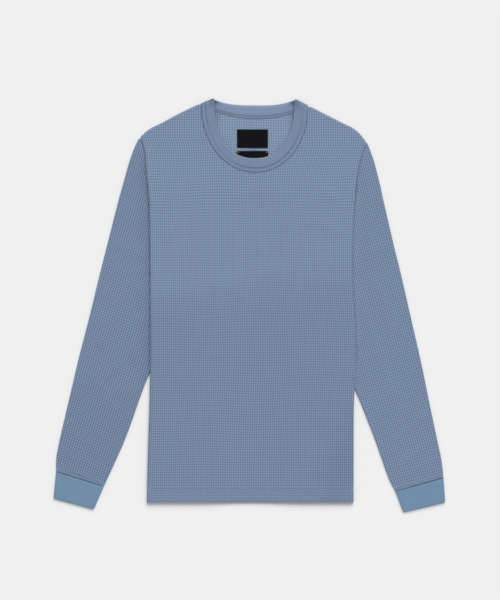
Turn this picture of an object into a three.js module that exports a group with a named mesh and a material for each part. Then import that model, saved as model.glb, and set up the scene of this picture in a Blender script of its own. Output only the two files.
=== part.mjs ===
// A long-sleeved waffle-knit thermal top with a ribbed crew neck and ribbed cuffs, laid flat, front up.
// Millimetres, +Z up. The underside lies on z = 0, the hem points to -Y and the neck to +Y.
// The wearer's right side is at -X, because the front is up.
// Both sides of the body are folded under, so each side shows one fold over the top of its sleeve.
import * as THREE from "three";

// Driving dimensions
const cloth = 1.5; // one layer of waffle knit
const seamGap = 0.3; // clearance between two pieces that are sewn or lie together
const airGap = 1.2; // room between front and back, where the labels lie
const foldReach = 3.45; // how far a side fold or a shoulder edge is rounded in from the outline
const foldBase = 2 * (cloth + seamGap); // height of the back over the folded flaps and the sleeves
const bodyCentreX = 2;
const liftInner = 45; // from here to liftOuter, on either side of the centre, the body climbs on to the flaps
const liftOuter = 95;
const liftTop = 273; // above this Y nothing is folded under
const liftFull = 190; // below this Y the body lies fully on flap or sleeve

// Body sections from the hem up: both ends of each, and how far round the two necklines it ends.
// neckAngle is in degrees from the bottom of the front neckline, backNeck a share of half the back neckline.
const bodySections = [
  { leftX: -180.6, leftY: -346.8, rightX: 183.5, rightY: -346.8 },
  { leftX: -180.2, leftY: -324, rightX: 183.6, rightY: -324 },
  { leftX: -179.3, leftY: -285, rightX: 183.6, rightY: -290 },
  { leftX: -177.6, leftY: -225, rightX: 183.7, rightY: -237 },
  { leftX: -175.8, leftY: -168, rightX: 183.9, rightY: -190 },
  { leftX: -174.9, leftY: -121, rightX: 185, rightY: -150 },
  { leftX: -174.8, leftY: -70, rightX: 187.7, rightY: -95 },
  { leftX: -174.9, leftY: -10, rightX: 185.7, rightY: -25 },
  { leftX: -175.2, leftY: 50, rightX: 182, rightY: 40 },
  { leftX: -175.7, leftY: 105, rightX: 181.6, rightY: 95 },
  { leftX: -176.4, leftY: 150, rightX: 183.2, rightY: 150 },
  { leftX: -177.4, leftY: 184, rightX: 185.7, rightY: 184 },
  { leftX: -179.6, leftY: 210, rightX: 187.9, rightY: 210 },
  { leftX: -181.9, leftY: 231, rightX: 190.8, rightY: 231, neckAngle: 20 },
  { leftX: -183.2, leftY: 246, rightX: 193.9, rightY: 246, neckAngle: 32 },
  { leftX: -184.3, leftY: 260, rightX: 197.9, rightY: 260, neckAngle: 43 },
  { leftX: -186.3, leftY: 274, rightX: 201.9, rightY: 272, neckAngle: 53 },
  { leftX: -190, leftY: 287, rightX: 204.6, rightY: 282, neckAngle: 60 },
  { leftX: -193.6, leftY: 294.4, rightX: 204.8, rightY: 289.2, neckAngle: 65 },
  { leftX: -178.3, leftY: 308.3, rightX: 187.1, rightY: 308.3, neckAngle: 71 },
  { leftX: -151.4, leftY: 322.3, rightX: 160.9, rightY: 322.3, neckAngle: 76.5, backNeck: 0.62 },
  { leftX: -125.3, leftY: 336.4, rightX: 133.2, rightY: 336.4, neckAngle: 82, backNeck: 0.82 },
  { leftX: -103.8, leftY: 347, rightX: 112.5, rightY: 347, neckAngle: 86, backNeck: 0.93 },
  { leftX: -95.5, leftY: 350.8, rightX: 105.6, rightY: 350.4, neckAngle: 88, backNeck: 0.97 },
];
const notchSection = 5; // the flaps reach from the hem to this section, where the sleeves come out
const coveredSection = 11; // from here down the armhole lies under the body
const tipSection = 18; // the shoulder tips

// The folded flap on the underside ends at the side seam, which slants up beside the sleeve at its top.
const flaps = {
  left: { seamX: -99, topRise: 168 },
  right: { seamX: 104, topRise: 199 },
};

// Cells across each part of a panel section
const cells = { flap: 3, foldBelow: 3, foldAbove: 3, strip: 6, neck: 8 };

// Below the neckline the panel columns gather towards it. They start from the middle part of the width.
const gather = { from: 0.34, to: 0.66, across: 0.9, down: 0.7, power: 3 };

// Neckline: where the band crosses the shoulder folds, and the four edges of the band
const shoulderFold = {
  left: { seam: [-85.5, 355.4], edge: [-62.6, 364.2] },
  right: { seam: [103.9, 351.9], edge: [80.1, 363.1] },
};
const frontNeckSeam = { depth: 117, power: 2.07 };
const frontNeckEdge = { depth: 102.1, power: 2.33 };
const backNeckSeam = { depth: 22.6, power: 2.2 };
const backNeckEdge = { depth: 9.4, power: 3 };
const band = { thickness: 3, strip: 7, backStrip: 4.5, step: 1.1, ramp: 1, round: 1.2 };
const bandSettles = { from: 60, to: 79 }; // neck angles between which the front's band comes down
const rollSteps = 6;

// Labels on the inside of the back, under the neck
const labelThickness = 0.6;
const neckLabel = { left: -21.7, right: 32.6, bottom: 276.6, top: 309.3 };
const sizeLabel = { left: -22.4, right: 33.1, bottom: 246, top: 271.3 };
const labelCells = { across: 6, down: 4 };

// Sleeves: outer fold from below the shoulder tip, inner fold from the underarm, both to above the cuff seam.
// underBody is the stretch of the armhole that lies under the body, down to the underarm.
const sleeves = {
  left: {
    outerFold: [
      [-199.4, 283.6], [-203.8, 273], [-210.1, 255.5], [-220.2, 220.3], [-230, 185], [-247.8, 114.7],
      [-265.6, 44.3], [-282.7, -26], [-300.8, -96.5], [-313.3, -149.3], [-325.6, -202], [-333.7, -237.3],
      [-339.6, -270],
    ],
    innerFold: [
      [-99.3, 53], [-137, -32], [-174.9, -117.7], [-187.8, -149.3], [-206.4, -202.1], [-219.6, -237.3],
      [-235, -272.5],
    ],
    underBody: [[-170, 160], [-151, 130], [-133, 102], [-116, 76]],
  },
  right: {
    outerFold: [
      [208.3, 283], [212.4, 273], [218.4, 255.5], [227.9, 220.3], [235.8, 185], [251.9, 114.7],
      [269.1, 44.3], [285.1, -26], [301.3, -96.5], [312.2, -149.3], [323, -202.1], [330.7, -237.3],
      [337.9, -272.5],
    ],
    innerFold: [
      [104.9, 53], [143, -42], [185.5, -147], [194, -166.9], [208, -202.1], [221.6, -237.3],
      [233.9, -272.5], [246.9, -307.7],
    ],
    underBody: [[178, 160], [159, 130], [140, 102], [122, 76]],
  },
};
const sleeveSteps = { along: 18, fold: 4 };

// Cuffs: a double rib, from the seam to the folded bottom edge
const cuffWall = 1.8;
const cuffs = {
  left: {
    seamOuter: [-340, -293.8], seamInner: [-256.6, -319.6],
    endOuter: [-344.6, -339.6], endInner: [-273.6, -358.6],
  },
  right: {
    seamOuter: [341.6, -304.4], seamInner: [257.6, -328.5],
    endOuter: [344.6, -346.6], endInner: [271, -363.8],
  },
};
const cuffSteps = { along: 4, fold: 4 };
const cuffColumns = 6;

const colours = {
  waffle: 0x768aa3,
  rib: 0x7188a5,
  label: 0x141517,
};

function smoothStep(from, to, value) {
  return THREE.MathUtils.smoothstep(value, from, to);
}

function mix(from, to, share) {
  return from + (to - from) * share;
}

function between(a, b, share) {
  return new THREE.Vector2(mix(a.x, b.x, share), mix(a.y, b.y, share));
}

// How far the body has climbed on to what is folded under it: 0 in the middle, 1 over the flaps and sleeves
function lift(x, y) {
  const across = smoothStep(liftInner, liftOuter, Math.abs(x - bodyCentreX));
  return across * (1 - smoothStep(liftFull, liftTop, y));
}

function backUnderside(x, y) {
  return foldBase * lift(x, y);
}

function frontTop(x, y) {
  const flatTop = 2 * cloth + airGap;
  const foldedTop = foldBase + 2 * cloth + seamGap;
  return mix(flatTop, foldedTop, lift(x, y));
}

// A wall between two grids of points, rows by columns. keep says which cells are cloth.
function wall(over, under, keep, closedAcross = false) {
  const rows = over.length;
  const columns = over[0].length;
  const positions = [...over.flat(), ...under.flat()].flatMap((p) => [p.x, p.y, p.z]);
  const faces = [];
  const at = (i, j, side) => side * rows * columns + i * columns + (j % columns);
  const columnCells = closedAcross ? columns : columns - 1;
  const isKept = (i, j) => {
    if (i < 0 || i >= rows - 1) return false;
    if (closedAcross) return keep(i, (j + columns) % columns);
    return j >= 0 && j < columnCells && keep(i, j);
  };
  const quad = (a, b, c, d) => faces.push(a, b, c, a, c, d);
  for (let i = 0; i < rows - 1; i++) {
    for (let j = 0; j < columnCells; j++) {
      if (!isKept(i, j)) continue;
      const corners = [[i, j], [i, j + 1], [i + 1, j + 1], [i + 1, j]];
      const [a, b, c, d] = corners.map(([row, column]) => at(row, column, 0));
      const [e, f, g, h] = corners.map(([row, column]) => at(row, column, 1));
      quad(a, b, c, d);
      faces.push(e, g, f, e, h, g);
      if (!isKept(i - 1, j)) quad(b, a, e, f);
      if (!isKept(i, j + 1)) quad(c, b, f, g);
      if (!isKept(i + 1, j)) quad(d, c, g, h);
      if (!isKept(i, j - 1)) quad(a, d, h, e);
    }
  }
  return solid(positions, faces);
}

// A closed geometry whose faces point out
function solid(positions, faces) {
  const corner = (index) => new THREE.Vector3().fromArray(positions, 3 * index);
  let volume = 0;
  for (let i = 0; i < faces.length; i += 3) {
    volume += corner(faces[i]).dot(corner(faces[i + 1]).cross(corner(faces[i + 2])));
  }
  const outward = volume > 0 ? faces : faces.slice().reverse();
  const geometry = new THREE.BufferGeometry();
  geometry.setAttribute("position", new THREE.Float32BufferAttribute(positions, 3));
  geometry.setIndex(outward);
  geometry.computeVertexNormals();
  return geometry;
}

// Shoulder folds, moved in by the rounding of the band where it rolls over
function rolledFold(side) {
  const seam = new THREE.Vector2(...shoulderFold[side].seam);
  const edge = new THREE.Vector2(...shoulderFold[side].edge);
  const along = edge.clone().sub(seam).normalize();
  const inward = new THREE.Vector2(along.y, -along.x);
  if (inward.y > 0) inward.negate();
  const inset = band.thickness + seamGap / 2;
  return {
    inward,
    seam: seam.addScaledVector(inward, inset),
    edge: edge.addScaledVector(inward, inset),
  };
}
const foldLeft = rolledFold("left");
const foldRight = rolledFold("right");

// The front neckline hangs between the two folds like half a rounded rectangle. Angle -90 is the left end.
function frontNeck(line, shape, degrees, outset = 0) {
  const angle = THREE.MathUtils.degToRad(degrees);
  const rounding = 2 / shape.power;
  const across = Math.sign(angle) * Math.abs(Math.sin(angle)) ** rounding;
  const drop = Math.cos(angle) ** rounding;
  const point = between(foldLeft[line], foldRight[line], (1 + across) / 2);
  return new THREE.Vector2(point.x + across * outset, point.y - drop * (shape.depth + outset));
}

// The back neckline is a shallow curve between the same folds. share runs from -1 to 1.
function backNeck(line, shape, share, outset = 0) {
  const point = between(foldLeft[line], foldRight[line], (1 + share) / 2);
  const drop = shape.depth * (1 - Math.abs(share) ** shape.power);
  return new THREE.Vector2(point.x, point.y - outset - drop);
}

// The outline of the body on one side: a point and the direction into the cloth for each section
function outline(side) {
  const points = bodySections.map((s) => new THREE.Vector2(s[side + "X"], s[side + "Y"]));
  return points.map((point, i) => {
    const before = points[Math.max(i - 1, 0)];
    const after = points[Math.min(i + 1, points.length - 1)];
    const along = after.clone().sub(before).normalize();
    const inward = new THREE.Vector2(along.y, -along.x);
    if (side === "right") inward.negate();
    return { point, inward };
  });
}
const outlines = { left: outline("left"), right: outline("right") };

// Where the panels' sections meet a neckline, from its left end to its right one
function neckPositions(key, end) {
  const steps = bodySections.map((section) => section[key]).filter((value) => value !== undefined);
  const middle = Array.from({ length: cells.neck + 1 }, (_, k) => steps[0] * (2 * k / cells.neck - 1));
  const outer = [...steps.slice(1), end];
  return [...outer.map((value) => -value).reverse(), ...middle, ...outer];
}

function highPoint(flat, z) {
  return new THREE.Vector3(flat.x, flat.y, z);
}

// One side of a panel section, from the side seam on the underside, round the fold, to where it lies flat.
// Each entry holds the point over the cloth and the point under it.
function sideOf(side, index, panel) {
  const { point, inward } = outlines[side][index];
  const base = backUnderside(point.x, point.y);
  const top = frontTop(point.x, point.y);
  const centre = point.clone().addScaledVector(inward, foldReach);
  const radii = panel.foldRadii(base, top);
  const entries = [];
  const flap = flaps[side];
  const hemY = bodySections[0].leftY;
  const notchY = bodySections[notchSection][side + "Y"];
  const rise = flap.topRise * smoothStep(hemY, notchY, point.y) ** 2;
  const seam = new THREE.Vector2(flap.seamX, point.y + rise);
  for (let k = 0; k < cells.flap; k++) {
    const place = between(seam, centre, k / cells.flap);
    entries.push({
      over: highPoint(place, base - radii.over.below),
      under: highPoint(place, base - radii.under.below),
    });
  }
  const foldCells = cells.foldBelow + cells.foldAbove;
  for (let k = 0; k <= foldCells; k++) {
    const angle = Math.PI * (k / foldCells - 0.5);
    const onFold = (radius) => {
      const height = Math.sin(angle) * (angle < 0 ? radius.below : radius.above);
      const place = centre.clone().addScaledVector(inward, -radius.across * Math.cos(angle));
      return highPoint(place, base + height);
    };
    entries.push({ over: onFold(radii.over), under: onFold(radii.under) });
  }
  return entries;
}

// A panel section from the left side seam to the right one
function panelSection(index, panel) {
  const left = sideOf("left", index, panel);
  const right = sideOf("right", index, panel).reverse();
  const start = outlines.left[index].point.clone().addScaledVector(outlines.left[index].inward, foldReach);
  const end = outlines.right[index].point.clone().addScaledVector(outlines.right[index].inward, foldReach);
  const neck = panel.neckPoints(index, start, end);
  const flat = [];
  for (let k = 1; k < cells.strip; k++) flat.push(between(start, neck[0], k / cells.strip));
  flat.push(...neck);
  for (let k = 1; k < cells.strip; k++) flat.push(between(neck[cells.neck], end, k / cells.strip));
  const middle = flat.map((place) => ({
    over: highPoint(place, panel.height(place.x, place.y) + cloth),
    under: highPoint(place, panel.height(place.x, place.y)),
  }));
  return [...left, ...middle, ...right];
}

// The points of a section where the neckline meets it, or evenly spaced ones below the neckline
function neckColumns(index, start, end, key, curve) {
  const first = bodySections.findIndex((section) => section[key] !== undefined);
  const onCurve = Array.from({ length: cells.neck + 1 }, (_, k) =>
    curve(bodySections[Math.max(index, first)][key] * (2 * k / cells.neck - 1)),
  );
  if (index >= first) return onCurve;
  const closeness = (index / first) ** gather.power;
  return onCurve.map((point, k) => {
    const even = between(start, end, mix(gather.from, gather.to, k / cells.neck));
    const drawn = new THREE.Vector2(
      mix(even.x, point.x, gather.across),
      even.y + (point.y - onCurve[0].y) * gather.down,
    );
    return between(even, drawn, closeness);
  });
}

function panelSolid(panel) {
  const sections = bodySections.map((_, index) => panelSection(index, panel));
  const folded = cells.flap + cells.foldBelow;
  const firstNeck = folded + cells.foldAbove + cells.strip;
  const columns = sections[0].length - 1;
  const neckStart = bodySections.findIndex((section) => section[panel.neckKey] !== undefined);
  const keep = (i, j) => {
    const onFlap = j < folded || j >= columns - folded;
    const inNeck = j >= firstNeck && j < firstNeck + cells.neck;
    if (onFlap) return i < notchSection;
    return !(inNeck && i >= neckStart);
  };
  const over = sections.map((section) => section.map((entry) => entry.over));
  const under = sections.map((section) => section.map((entry) => entry.under));
  return wall(over, under, keep);
}

// The front: its folds wrap round the back's, and below the notches it goes on under the body as flaps
const frontPanel = {
  neckKey: "neckAngle",
  height: (x, y) => frontTop(x, y) - cloth,
  foldRadii: (base, top) => ({
    over: { across: foldReach, above: top - base, below: base },
    under: { across: foldReach - cloth, above: top - base - cloth, below: base - cloth },
  }),
  neckPoints: (index, start, end) =>
    neckColumns(index, start, end, "neckAngle", (angle) => frontNeck("seam", frontNeckSeam, angle, seamGap)),
};

// The back: flat in the middle, folded inside the front at the sides
const backPanel = {
  neckKey: "backNeck",
  height: backUnderside,
  foldRadii: (base) => {
    const across = foldReach - cloth - seamGap;
    return {
      over: { across, above: cloth, below: base - cloth - seamGap },
      under: { across: across - cloth, above: 0, below: base - 2 * cloth - seamGap },
    };
  },
  neckPoints: (index, start, end) =>
    neckColumns(index, start, end, "backNeck", (share) => backNeck("seam", backNeckSeam, share, seamGap)),
};

// A flattened tube between two folds, open at both ends. start and end are the lines across its ends,
// and each point of start begins a column.
function flatTube({ outerFold, innerFold, start, end, wallThickness, steps }) {
  const thickness = 2 * wallThickness + seamGap;
  const reach = thickness / 2;
  const line = (points) => {
    const places = points.map((point) => new THREE.Vector3(...point, 0));
    return new THREE.CatmullRomCurve3(places, false, "centripetal");
  };
  const [outer, inner, first, last] = [outerFold, innerFold, start, end].map(line);
  const columns = start.length - 1;
  // Each point is blended from the four edges, so the tube has exactly this outline
  const place = (u, v) => {
    const point = outer.getPointAt(u).multiplyScalar(1 - v).addScaledVector(inner.getPointAt(u), v);
    point.addScaledVector(first.getPoint(v), 1 - u).addScaledVector(last.getPoint(v), u);
    point.addScaledVector(outer.getPoint(0), -(1 - u) * (1 - v));
    point.addScaledVector(inner.getPoint(0), -(1 - u) * v);
    point.addScaledVector(outer.getPoint(1), -u * (1 - v));
    return point.addScaledVector(inner.getPoint(1), -u * v);
  };
  const over = [];
  const under = [];
  for (let i = 0; i <= steps.along; i++) {
    const u = i / steps.along;
    const ring = { over: [], under: [] };
    const width = place(u, 0).distanceTo(place(u, 1));
    const flatPart = (z, innerZ, backwards) => {
      for (let k = 1; k < columns; k++) {
        const share = backwards ? 1 - k / columns : k / columns;
        const point = place(u, share);
        ring.over.push(highPoint(point, z));
        ring.under.push(highPoint(point, innerZ));
      }
    };
    const foldPart = (v, turn) => {
      const edge = place(u, v);
      const inward = place(u, v === 0 ? 2 * reach / width : 1 - 2 * reach / width).sub(edge).normalize();
      const centre = edge.clone().addScaledVector(inward, reach);
      for (let k = 0; k <= steps.fold; k++) {
        const angle = turn * Math.PI * (k / steps.fold - 0.5);
        for (const [list, radius] of [["over", reach], ["under", reach - wallThickness]]) {
          const point = centre.clone().addScaledVector(inward, -radius * Math.cos(angle));
          ring[list].push(highPoint(point, reach + radius * Math.sin(angle)));
        }
      }
    };
    foldPart(0, 1);
    flatPart(thickness, thickness - wallThickness, false);
    foldPart(1, -1);
    flatPart(0, wallThickness, true);
    over.push(ring.over);
    under.push(ring.under);
  }
  return wall(over, under, () => true, true);
}

// The armhole of a sleeve follows the body's edge, a seam gap outside it, and then goes on under the body
function armhole(side) {
  const beside = outlines[side].slice(coveredSection, tipSection + 1).reverse();
  const seam = beside.map(({ point, inward }) => point.clone().addScaledVector(inward, -seamGap).toArray());
  return [...seam, ...sleeves[side].underBody, sleeves[side].innerFold[0]];
}

// The line where a sleeve ends, a seam gap above its cuff
function cuffSeam(side) {
  const outer = new THREE.Vector2(...cuffs[side].seamOuter);
  const inner = new THREE.Vector2(...cuffs[side].seamInner);
  const along = inner.clone().sub(outer).normalize();
  const up = new THREE.Vector2(Math.abs(along.y), Math.abs(along.x));
  if (side === "right") up.x *= -1;
  return [outer, inner].map((point) => point.addScaledVector(up, seamGap).toArray());
}

function sleeveSolid(side) {
  const start = armhole(side);
  const end = cuffSeam(side);
  return flatTube({
    outerFold: [start[0], ...sleeves[side].outerFold, end[0]],
    innerFold: [...sleeves[side].innerFold, end[1]],
    start,
    end,
    wallThickness: cloth,
    steps: sleeveSteps,
  });
}

function cuffSolid(side) {
  const { seamOuter, seamInner, endOuter, endInner } = cuffs[side];
  return flatTube({
    outerFold: [seamOuter, endOuter],
    innerFold: [seamInner, endInner],
    start: Array.from({ length: cuffColumns + 1 }, (_, k) =>
      seamOuter.map((value, axis) => mix(value, seamInner[axis], k / cuffColumns)),
    ),
    end: [endOuter, endInner],
    wallThickness: cuffWall,
    steps: cuffSteps,
  });
}

// The neckband is a closed ring of sections: round the front, over the left fold, along the back and over
// the right fold
function bandStations() {
  const frontBase = cloth + airGap;
  const foldedBase = band.thickness + seamGap;
  const up = new THREE.Vector3(0, 0, 1);
  const down = new THREE.Vector3(0, 0, -1);
  const stations = [];
  const addStation = (seam, edge, seamZ, normal, backShare) => {
    stations.push({ seam: highPoint(seam, seamZ), edge: highPoint(edge, seamZ), normal, backShare });
  };
  for (const angle of neckPositions("neckAngle", 90).reverse()) {
    const settled = smoothStep(bandSettles.from, bandSettles.to, Math.abs(angle));
    const base = mix(frontBase, foldedBase, settled);
    const seam = frontNeck("seam", frontNeckSeam, angle);
    addStation(seam, frontNeck("edge", frontNeckEdge, angle), base, up, 0);
  }
  const roll = (fold, backwards) => {
    for (let k = 1; k < rollSteps; k++) {
      const share = backwards ? 1 - k / rollSteps : k / rollSteps;
      const angle = Math.PI * (0.5 - share);
      const out = fold.inward.clone().multiplyScalar(-Math.cos(angle));
      const normal = new THREE.Vector3(out.x, out.y, Math.sin(angle));
      const shift = out.clone().multiplyScalar(seamGap / 2);
      const height = band.thickness + (seamGap / 2) * (1 + normal.z);
      addStation(fold.seam.clone().add(shift), fold.edge.clone().add(shift), height, normal, share);
    }
  };
  roll(foldLeft, false);
  for (const share of neckPositions("backNeck", 1)) {
    const seam = backNeck("seam", backNeckSeam, share);
    addStation(seam, backNeck("edge", backNeckEdge, share), band.thickness, down, 1);
  }
  roll(foldRight, true);
  return stations;
}

function bandSolid() {
  const { thickness, ramp, round } = band;
  const positions = [];
  const faces = [];
  const stations = bandStations();
  const profile = ({ seam, edge, backShare }) => {
    const width = seam.distanceTo(edge);
    const strip = mix(band.strip, band.backStrip, backShare);
    const insideStep = band.step * backShare;
    const outsideStep = band.step * (1 - backShare);
    return [
      [0, insideStep], [strip, insideStep], [strip + ramp, 0], [width - round, 0], [width, round],
      [width, thickness - round], [width - round, thickness], [strip + ramp, thickness],
      [strip, thickness - outsideStep], [0, thickness - outsideStep],
    ];
  };
  stations.forEach((station, i) => {
    const across = station.edge.clone().sub(station.seam).normalize();
    const section = profile(station);
    const next = (i + 1) % stations.length;
    section.forEach(([along, height], j) => {
      const point = station.seam.clone().addScaledVector(across, along);
      point.addScaledVector(station.normal, height);
      positions.push(point.x, point.y, point.z);
      const nextJ = (j + 1) % section.length;
      const [a, b] = [i * section.length + j, i * section.length + nextJ];
      const [c, d] = [next * section.length + nextJ, next * section.length + j];
      faces.push(a, b, c, a, c, d);
    });
  });
  return solid(positions, faces);
}

// A label lies on the back's inner face, so its points are that face's, moved out
function labelSolid({ left, right, bottom, top }) {
  const { across, down } = labelCells;
  const grid = (rise) =>
    Array.from({ length: down + 1 }, (_, i) =>
      Array.from({ length: across + 1 }, (_, j) => {
        const x = mix(left, right, j / across);
        const y = mix(bottom, top, i / down);
        return new THREE.Vector3(x, y, backUnderside(x, y) + cloth + rise);
      }),
    );
  return wall(grid(seamGap + labelThickness), grid(seamGap), () => true);
}

function fabricPiece(name, geometry, colour) {
  const material = new THREE.MeshStandardMaterial({ color: colour, roughness: 0.95, metalness: 0 });
  const mesh = new THREE.Mesh(geometry, material);
  mesh.name = name;
  return mesh;
}

const thermalTop = new THREE.Group();
thermalTop.add(
  fabricPiece("front", panelSolid(frontPanel), colours.waffle),
  fabricPiece("back", panelSolid(backPanel), colours.waffle),
  fabricPiece("neckband", bandSolid(), colours.rib),
  fabricPiece("neck_label", labelSolid(neckLabel), colours.label),
  fabricPiece("size_label", labelSolid(sizeLabel), colours.label),
);
for (const side of ["left", "right"]) {
  thermalTop.add(
    fabricPiece("sleeve_" + side, sleeveSolid(side), colours.waffle),
    fabricPiece("cuff_" + side, cuffSolid(side), colours.rib),
  );
}

export default thermalTop;
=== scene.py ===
# The looks of a long-sleeved waffle-knit thermal top, laid flat with its front up.
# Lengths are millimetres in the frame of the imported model, and become metres as a mesh is made.
import math

import bpy
import numpy as np
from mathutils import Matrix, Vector
from mathutils.geometry import delaunay_2d_cdt


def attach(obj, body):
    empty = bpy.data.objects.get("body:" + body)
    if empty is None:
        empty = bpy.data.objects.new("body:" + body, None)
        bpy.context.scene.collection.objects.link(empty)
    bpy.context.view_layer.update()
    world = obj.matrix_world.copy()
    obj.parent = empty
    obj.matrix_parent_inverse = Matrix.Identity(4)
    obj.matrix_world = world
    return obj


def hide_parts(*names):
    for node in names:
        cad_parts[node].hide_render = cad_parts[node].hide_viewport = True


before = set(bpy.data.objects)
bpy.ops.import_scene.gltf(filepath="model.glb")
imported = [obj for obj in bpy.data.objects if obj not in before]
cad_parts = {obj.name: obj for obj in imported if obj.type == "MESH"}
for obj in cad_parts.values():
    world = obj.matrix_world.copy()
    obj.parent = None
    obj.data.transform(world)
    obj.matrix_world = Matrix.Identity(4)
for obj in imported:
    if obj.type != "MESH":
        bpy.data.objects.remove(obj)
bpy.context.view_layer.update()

MM = 0.001
SIDES = ("left", "right")
# Which way each side lies along X
SIGN = {"left": -1, "right": 1}

# The part's own sizes
cloth = 1.5
seam_gap = 0.3
air_gap = 1.2
fold_reach = 3.45
fold_base = 2 * (cloth + seam_gap)
body_centre_x = 2.0
# The cloth begins to rise nearer the middle than the solid does, and is as high over the flaps
lift_inner, lift_outer, lift_top, lift_full = 6.0, 96.0, 273.0, 190.0

body_left = [
    (-180.6, -346.8), (-180.2, -324), (-179.3, -285), (-177.6, -225), (-175.8, -168), (-174.9, -121),
    (-174.8, -70), (-174.9, -10), (-175.2, 50), (-175.7, 105), (-176.4, 150), (-177.4, 184),
    (-179.6, 210), (-181.9, 231), (-183.2, 246), (-184.3, 260), (-186.3, 274), (-190, 287), (-193.6, 294.4),
]
body_right = [
    (183.5, -346.8), (183.6, -324), (183.6, -290), (183.7, -237), (183.9, -190), (185, -150),
    (187.7, -95), (185.7, -25), (182, 40), (181.6, 95), (183.2, 150), (185.7, 184),
    (187.9, 210), (190.8, 231), (193.9, 246), (197.9, 260), (201.9, 272), (204.6, 282), (204.8, 289.2),
]
shoulder_left = [
    (-193.6, 294.4), (-178.3, 308.3), (-151.4, 322.3), (-125.3, 336.4), (-103.8, 347), (-95.5, 350.8),
    (-85.5, 355.4),
]
shoulder_right = [
    (204.8, 289.2), (187.1, 308.3), (160.9, 322.3), (133.2, 336.4), (112.5, 347), (105.6, 350.4),
    (103.9, 351.9),
]
covered_section = 11
tip_section = 18
flaps = {"left": (-99.0, 168.0, -121.0), "right": (104.0, 199.0, -150.0)}

shoulder_fold = {
    "left": ((-85.5, 355.4), (-62.6, 364.2)),
    "right": ((103.9, 351.9), (80.1, 363.1)),
}
front_neck_seam = (117.0, 2.07)
front_neck_edge = (102.1, 2.33)
back_neck_seam = (22.6, 2.2)
back_neck_edge = (9.4, 3.0)
band_thickness, band_strip, band_back_strip, band_step = 3.0, 7.0, 4.5, 1.1

neck_label_box = (-21.7, 32.6, 276.6, 309.3)
size_label_box = (-22.4, 33.1, 246.0, 271.3)
label_thickness = 0.6

sleeve_lines = {
    "left": {
        "outer": [
            (-199.4, 283.6), (-203.8, 273), (-210.1, 255.5), (-220.2, 220.3), (-230, 185), (-247.8, 114.7),
            (-265.6, 44.3), (-282.7, -26), (-300.8, -96.5), (-313.3, -149.3), (-325.6, -202), (-333.7, -237.3),
            (-339.6, -270),
        ],
        "inner": [
            (-99.3, 53), (-137, -32), (-174.9, -117.7), (-187.8, -149.3), (-206.4, -202.1), (-219.6, -237.3),
            (-235, -272.5),
        ],
        "under": [(-170, 160), (-151, 130), (-133, 102), (-116, 76)],
    },
    "right": {
        "outer": [
            (208.3, 283), (212.4, 273), (218.4, 255.5), (227.9, 220.3), (235.8, 185), (251.9, 114.7),
            (269.1, 44.3), (285.1, -26), (301.3, -96.5), (312.2, -149.3), (323, -202.1), (330.7, -237.3),
            (337.9, -272.5),
        ],
        "inner": [
            (104.9, 53), (143, -42), (185.5, -147), (194, -166.9), (208, -202.1), (221.6, -237.3),
            (233.9, -272.5), (246.9, -307.7),
        ],
        "under": [(178, 160), (159, 130), (140, 102), (122, 76)],
    },
}
cuff_wall = 1.8
cuff_corners = {
    "left": ((-340, -293.8), (-256.6, -319.6), (-344.6, -339.6), (-273.6, -358.6)),
    "right": ((341.6, -304.4), (257.6, -328.5), (344.6, -346.6), (271, -363.8)),
}

# Waffle: how deep a pit is, and how far the ridges of columns and rows dip between two crossings
pit_depth = 0.95
inside_pit_depth = 0.45
body_dips = (0.1, 0.1)
sleeve_dips = (0.12, 0.12)
body_cells_across = 94
row_pitch = 4.5
chest_row_pitch = 5.0
# On a sleeve: width and height of a cell, and how far its columns and rows are turned, in degrees
sleeve_cells = {"left": (4.15, 4.6, 15.4, 20.7), "right": (3.85, 5.05, -14.7, -16.8)}


def mix(a, b, share):
    return a + (b - a) * share


def unit(vectors):
    """The vector, or each row of vectors, at length 1."""
    return vectors / np.maximum(np.linalg.norm(vectors, axis=-1, keepdims=True), 1e-9)


def lengths_along(line):
    """How far along the line each of its points is."""
    return np.concatenate([[0], np.cumsum(np.linalg.norm(np.diff(line, axis=0), axis=1))])


def waffle_relief(i, j, dips):
    """The knit's height at row i and column j of half cells. Pits are where both are odd."""
    i, j = np.asarray(i) % 2, np.asarray(j) % 2
    column_dip, row_dip = dips
    return -(pit_depth * i * j + column_dip * i * (1 - j) + row_dip * (1 - i) * j)


def smooth_step(start, end, value):
    share = np.clip((np.asarray(value, dtype=float) - start) / (end - start), 0, 1)
    return share * share * (3 - 2 * share)


def lift(x, y):
    even = np.clip((np.abs(x - body_centre_x) - lift_inner) / (lift_outer - lift_inner), 0, 1)
    across = 0.4 * smooth_step(0, 1, even) + 0.6 * even
    return across * (1 - smooth_step(lift_full, lift_top, y))


def segment_distance(x, y, a, b):
    """How far each point lies from the segment from a to b."""
    x, y = np.asarray(x, dtype=float), np.asarray(y, dtype=float)
    run, rise = b[0] - a[0], b[1] - a[1]
    t = np.clip(((x - a[0]) * run + (y - a[1]) * rise) / (run**2 + rise**2), 0, 1)
    return np.hypot(x - a[0] - run * t, y - a[1] - rise * t)


def creases(x, y, lines):
    """The sum of soft ridges and troughs. Each line is its ends, its half width and its height."""
    total = np.zeros_like(np.asarray(x, dtype=float))
    for x0, y0, x1, y1, half_width, height in lines:
        total = total + height * np.exp(-(segment_distance(x, y, (x0, y0), (x1, y1)) / half_width) ** 2)
    return total


def back_underside(x, y):
    return fold_base * lift(x, y)


def front_top(x, y):
    return mix(2 * cloth + air_gap, fold_base + 2 * cloth + seam_gap, lift(x, y))


# Curves in the plane

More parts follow.
